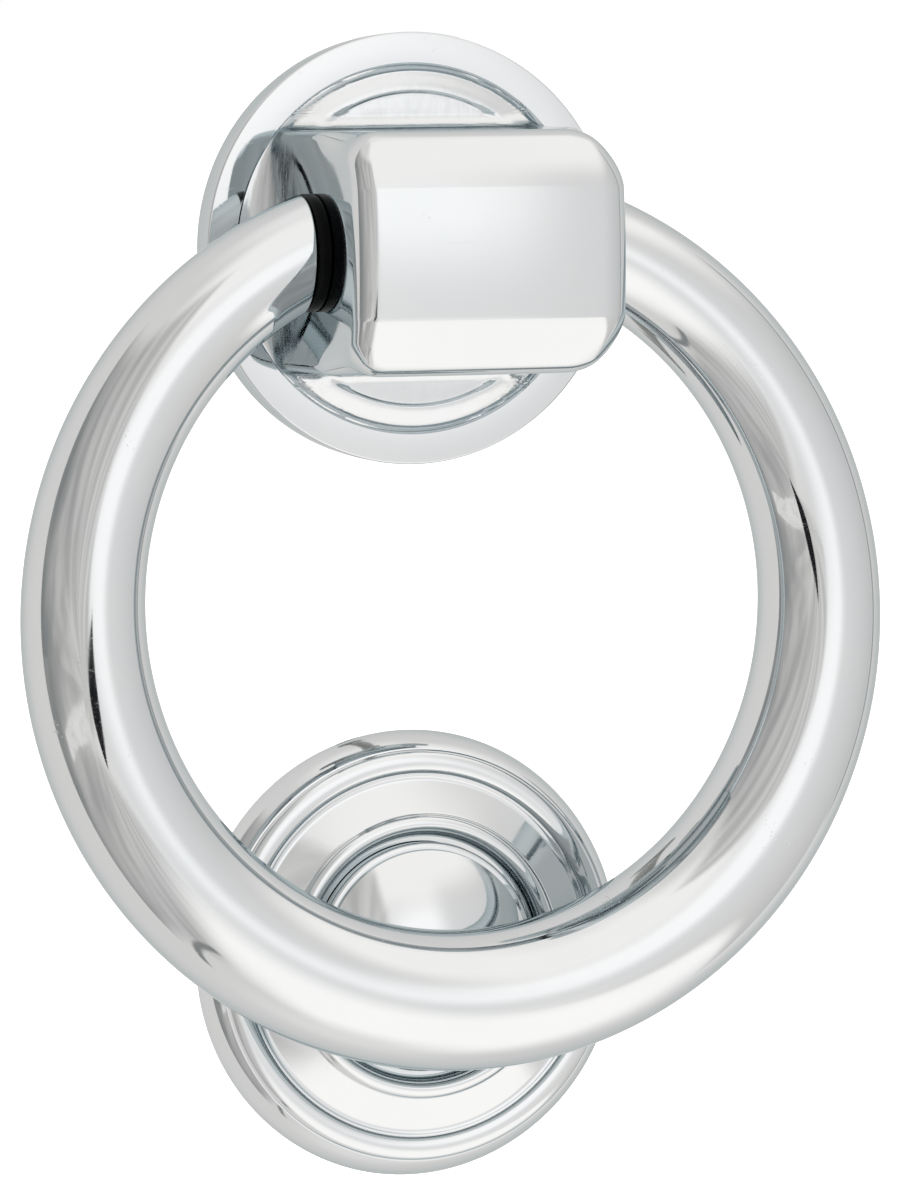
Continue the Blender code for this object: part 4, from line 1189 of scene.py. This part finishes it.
def surround_tone(nodes, turn, rise):
    """Tone of the white surround: walls, ceiling, the table below and the glow round the camera."""
    ceiling = both(nodes, nodes.ramp(rise, 14, 36), window(nodes, turn, -38, 98, 22))
    tone = nodes.mix(ceiling, WALL_TONE, CEILING_TONE)
    tone = nodes.mix(nodes.ramp(rise, 62, 84), tone, OVERHEAD_TONE)
    table = both(nodes, nodes.ramp(rise, 4, -34), nodes.ramp(turn, -48, -5), nodes.ramp(turn, 125, 60))
    tone = nodes.mix(table, tone, TABLE_TONE)
    tone = nodes.mix(nodes.ramp(rise, -62, -88), tone, UNDERSIDE_TONE)
    across = nodes.minus(turn, 13.0)
    up = nodes.times(nodes.minus(rise, 11.5), 1.6)
    return nodes.mix(nodes.ramp(nodes.reach(across, up), 40, 10), tone, FRONT_GLOW_TONE)


def with_panel(nodes, turn, rise, tone):
    """Add the grey panel on the right, with the dark slit beyond it."""
    lower_edge = slanted(nodes, turn, rise, (0.28, 1.0), 13.6)
    panel = both(nodes, nodes.ramp(turn, 16, 34), nodes.ramp(turn, 100, 96), nodes.ramp(rise, 45, 24),
                 nodes.ramp(lower_edge, -3, 3))
    panel_tone = nodes.span(turn, 30.0, 92.0, *PANEL_TONES)
    tone = nodes.mix(panel, tone, panel_tone)
    slit = both(nodes, window(nodes, turn, 99.5, 103.5, 0.8), window(nodes, rise, -20, 36, 3))
    return nodes.mix(slit, tone, SLIT_TONE)


def cloth_outline(nodes, turn, rise):
    """Where the cloth on the left hangs."""
    right_of_front = nodes.ramp(slanted(nodes, turn, rise, (-0.399, 0.917), -1.7), -1.6, 0.4)
    below_front = both(nodes, nodes.ramp(slanted(nodes, turn, rise, (1.0, -0.75)), 16, -4),
                       nodes.ramp(rise, -11, -17))
    return both(nodes, nodes.ramp(slanted(nodes, turn, rise, (1.0, 0.2)), -102, -101),
                nodes.ramp(slanted(nodes, turn, rise, (1.0, 0.25)), -2, -9),
                window(nodes, rise, -57, 50, 5), nodes.math("MAXIMUM", right_of_front, below_front))


def with_cloth(nodes, turn, rise, tone):
    """Add the cloth on the left: soft folds that spread from one point, a shaded far end and a hem."""
    fan = nodes.math("ARCTAN2", nodes.plus(rise, 6.0), nodes.plus(turn, 24.0))
    folds_place = nodes.add("CombineXYZ", X=nodes.times(fan, 2.4), Y=nodes.times(turn, 0.030),
                            Z=nodes.times(rise, 0.006)).outputs[0]
    folds = nodes.ramp(nodes.noise(folds_place, 1.4, 2.0, 0.5), 0.30, 0.70)
    folds = nodes.times(nodes.minus(folds, 0.5), FOLD_CONTRAST)
    cloth_tone = nodes.plus(nodes.span(turn, -86.0, -24.0, *CLOTH_TONES), folds)
    shaded = both(nodes, nodes.ramp(turn, -76, -97), nodes.ramp(rise, 58, 10), 0.36)
    cloth_tone = nodes.mix(shaded, cloth_tone, CLOTH_SHADE_TONE)
    tone = nodes.mix(cloth_outline(nodes, turn, rise), tone, cloth_tone)
    hem = both(nodes, window(nodes, slanted(nodes, turn, rise, (-0.25, 1.0), 44.0), -1.2, 1.2, 0.7),
               window(nodes, turn, -86, -34, 3))
    return nodes.mix(hem, tone, HEM_TONE)


def with_patch(nodes, turn, rise, tone):
    """Add the light crumpled patch that lies across the cloth."""
    level = slanted(nodes, turn, rise, (-0.23, 1.0), 2.7)
    crumple_place = nodes.add("CombineXYZ", X=nodes.times(turn, 0.045),
                              Y=nodes.times(level, 0.30)).outputs[0]
    crumpled = nodes.noise(crumple_place, 1.0, 3.0, 0.55)
    uneven = nodes.minus(crumpled, 0.5)
    shifted = nodes.plus(level, nodes.times(uneven, 4.0))
    patch = both(nodes, window(nodes, shifted, -2.7, 2.7, 0.35), window(nodes, turn, -79, -31, 1.2))
    creases = nodes.ramp(nodes.math("ABSOLUTE", uneven), 0.03, 0.0)
    patch_tone = nodes.plus(PATCH_TONE, nodes.times(crumpled, 0.08))
    patch_tone = nodes.minus(patch_tone, nodes.times(creases, 0.07))
    return nodes.mix(patch, tone, patch_tone)


def balanced_colour(nodes, turn, rise, tone):
    """Colour of a tone, allowing for what the chrome takes from each channel."""
    linear = nodes.math("POWER", tone, DISPLAY_GAMMA)
    coolness = nodes.ramp(tone, 0.68, 0.42)
    level_front = both(nodes, window(nodes, turn, -8, 100, 10), window(nodes, rise, -16, 24, 14))
    shares = [nodes.mix(coolness, nodes.mix(level_front, usual, front), dark)
              for usual, front, dark in RED_AND_BLUE_SHARES]
    red, blue = [nodes.times(linear, share) for share in shares]
    return nodes.add("CombineColor", Red=nodes.math("DIVIDE", red, CHROME_COLOUR[0]),
                     Green=nodes.math("DIVIDE", linear, CHROME_COLOUR[1]),
                     Blue=nodes.math("DIVIDE", blue, CHROME_COLOUR[2])).outputs[0]


def build_world():
    """A white studio with a panel on the right and a cloth on the left, plain white behind the knocker."""
    world = bpy.data.worlds.new("studio")
    bpy.context.scene.world = world
    world.use_nodes = True
    nodes = Nodes(world.node_tree)
    turn, rise = direction_angles(nodes)
    tone = surround_tone(nodes, turn, rise)
    for add_to in (with_panel, with_cloth, with_patch):
        tone = add_to(nodes, turn, rise, tone)
    surround = balanced_colour(nodes, turn, rise, tone)
    camera_ray = nodes.add("LightPath").outputs["Is Camera Ray"]
    shown = nodes.colours(camera_ray, surround, (1.0, 1.0, 1.0, 1.0))
    world.node_tree.links.new(shown, world.node_tree.nodes["Background"].inputs["Color"])


def build_lights():
    """Broad lamps that light the floor and the dull pieces, and don't show in the chrome."""
    for name, place, aim, size, power in (("lamp_above", (0.2, -0.9, 1.9), (0, 0, 0), 2.4, 55.0),
                                          ("lamp_left", (-1.6, -1.2, 0.9), (0, 0, 0), 1.2, 14.0)):
        data = bpy.data.lights.new(name, "AREA")
        data.shape = "DISK"
        data.size = size
        data.energy = power
        made = bpy.data.objects.new(name, data)
        bpy.context.scene.collection.objects.link(made)
        made.location = place
        made.rotation_euler = (Vector(aim) - Vector(place)).to_track_quat("-Z", "Y").to_euler()
        made.visible_camera = False
        made.visible_glossy = False


build_floor()
build_flag()
build_world()
build_lights()
bpy.context.scene.view_settings.view_transform = "Standard"
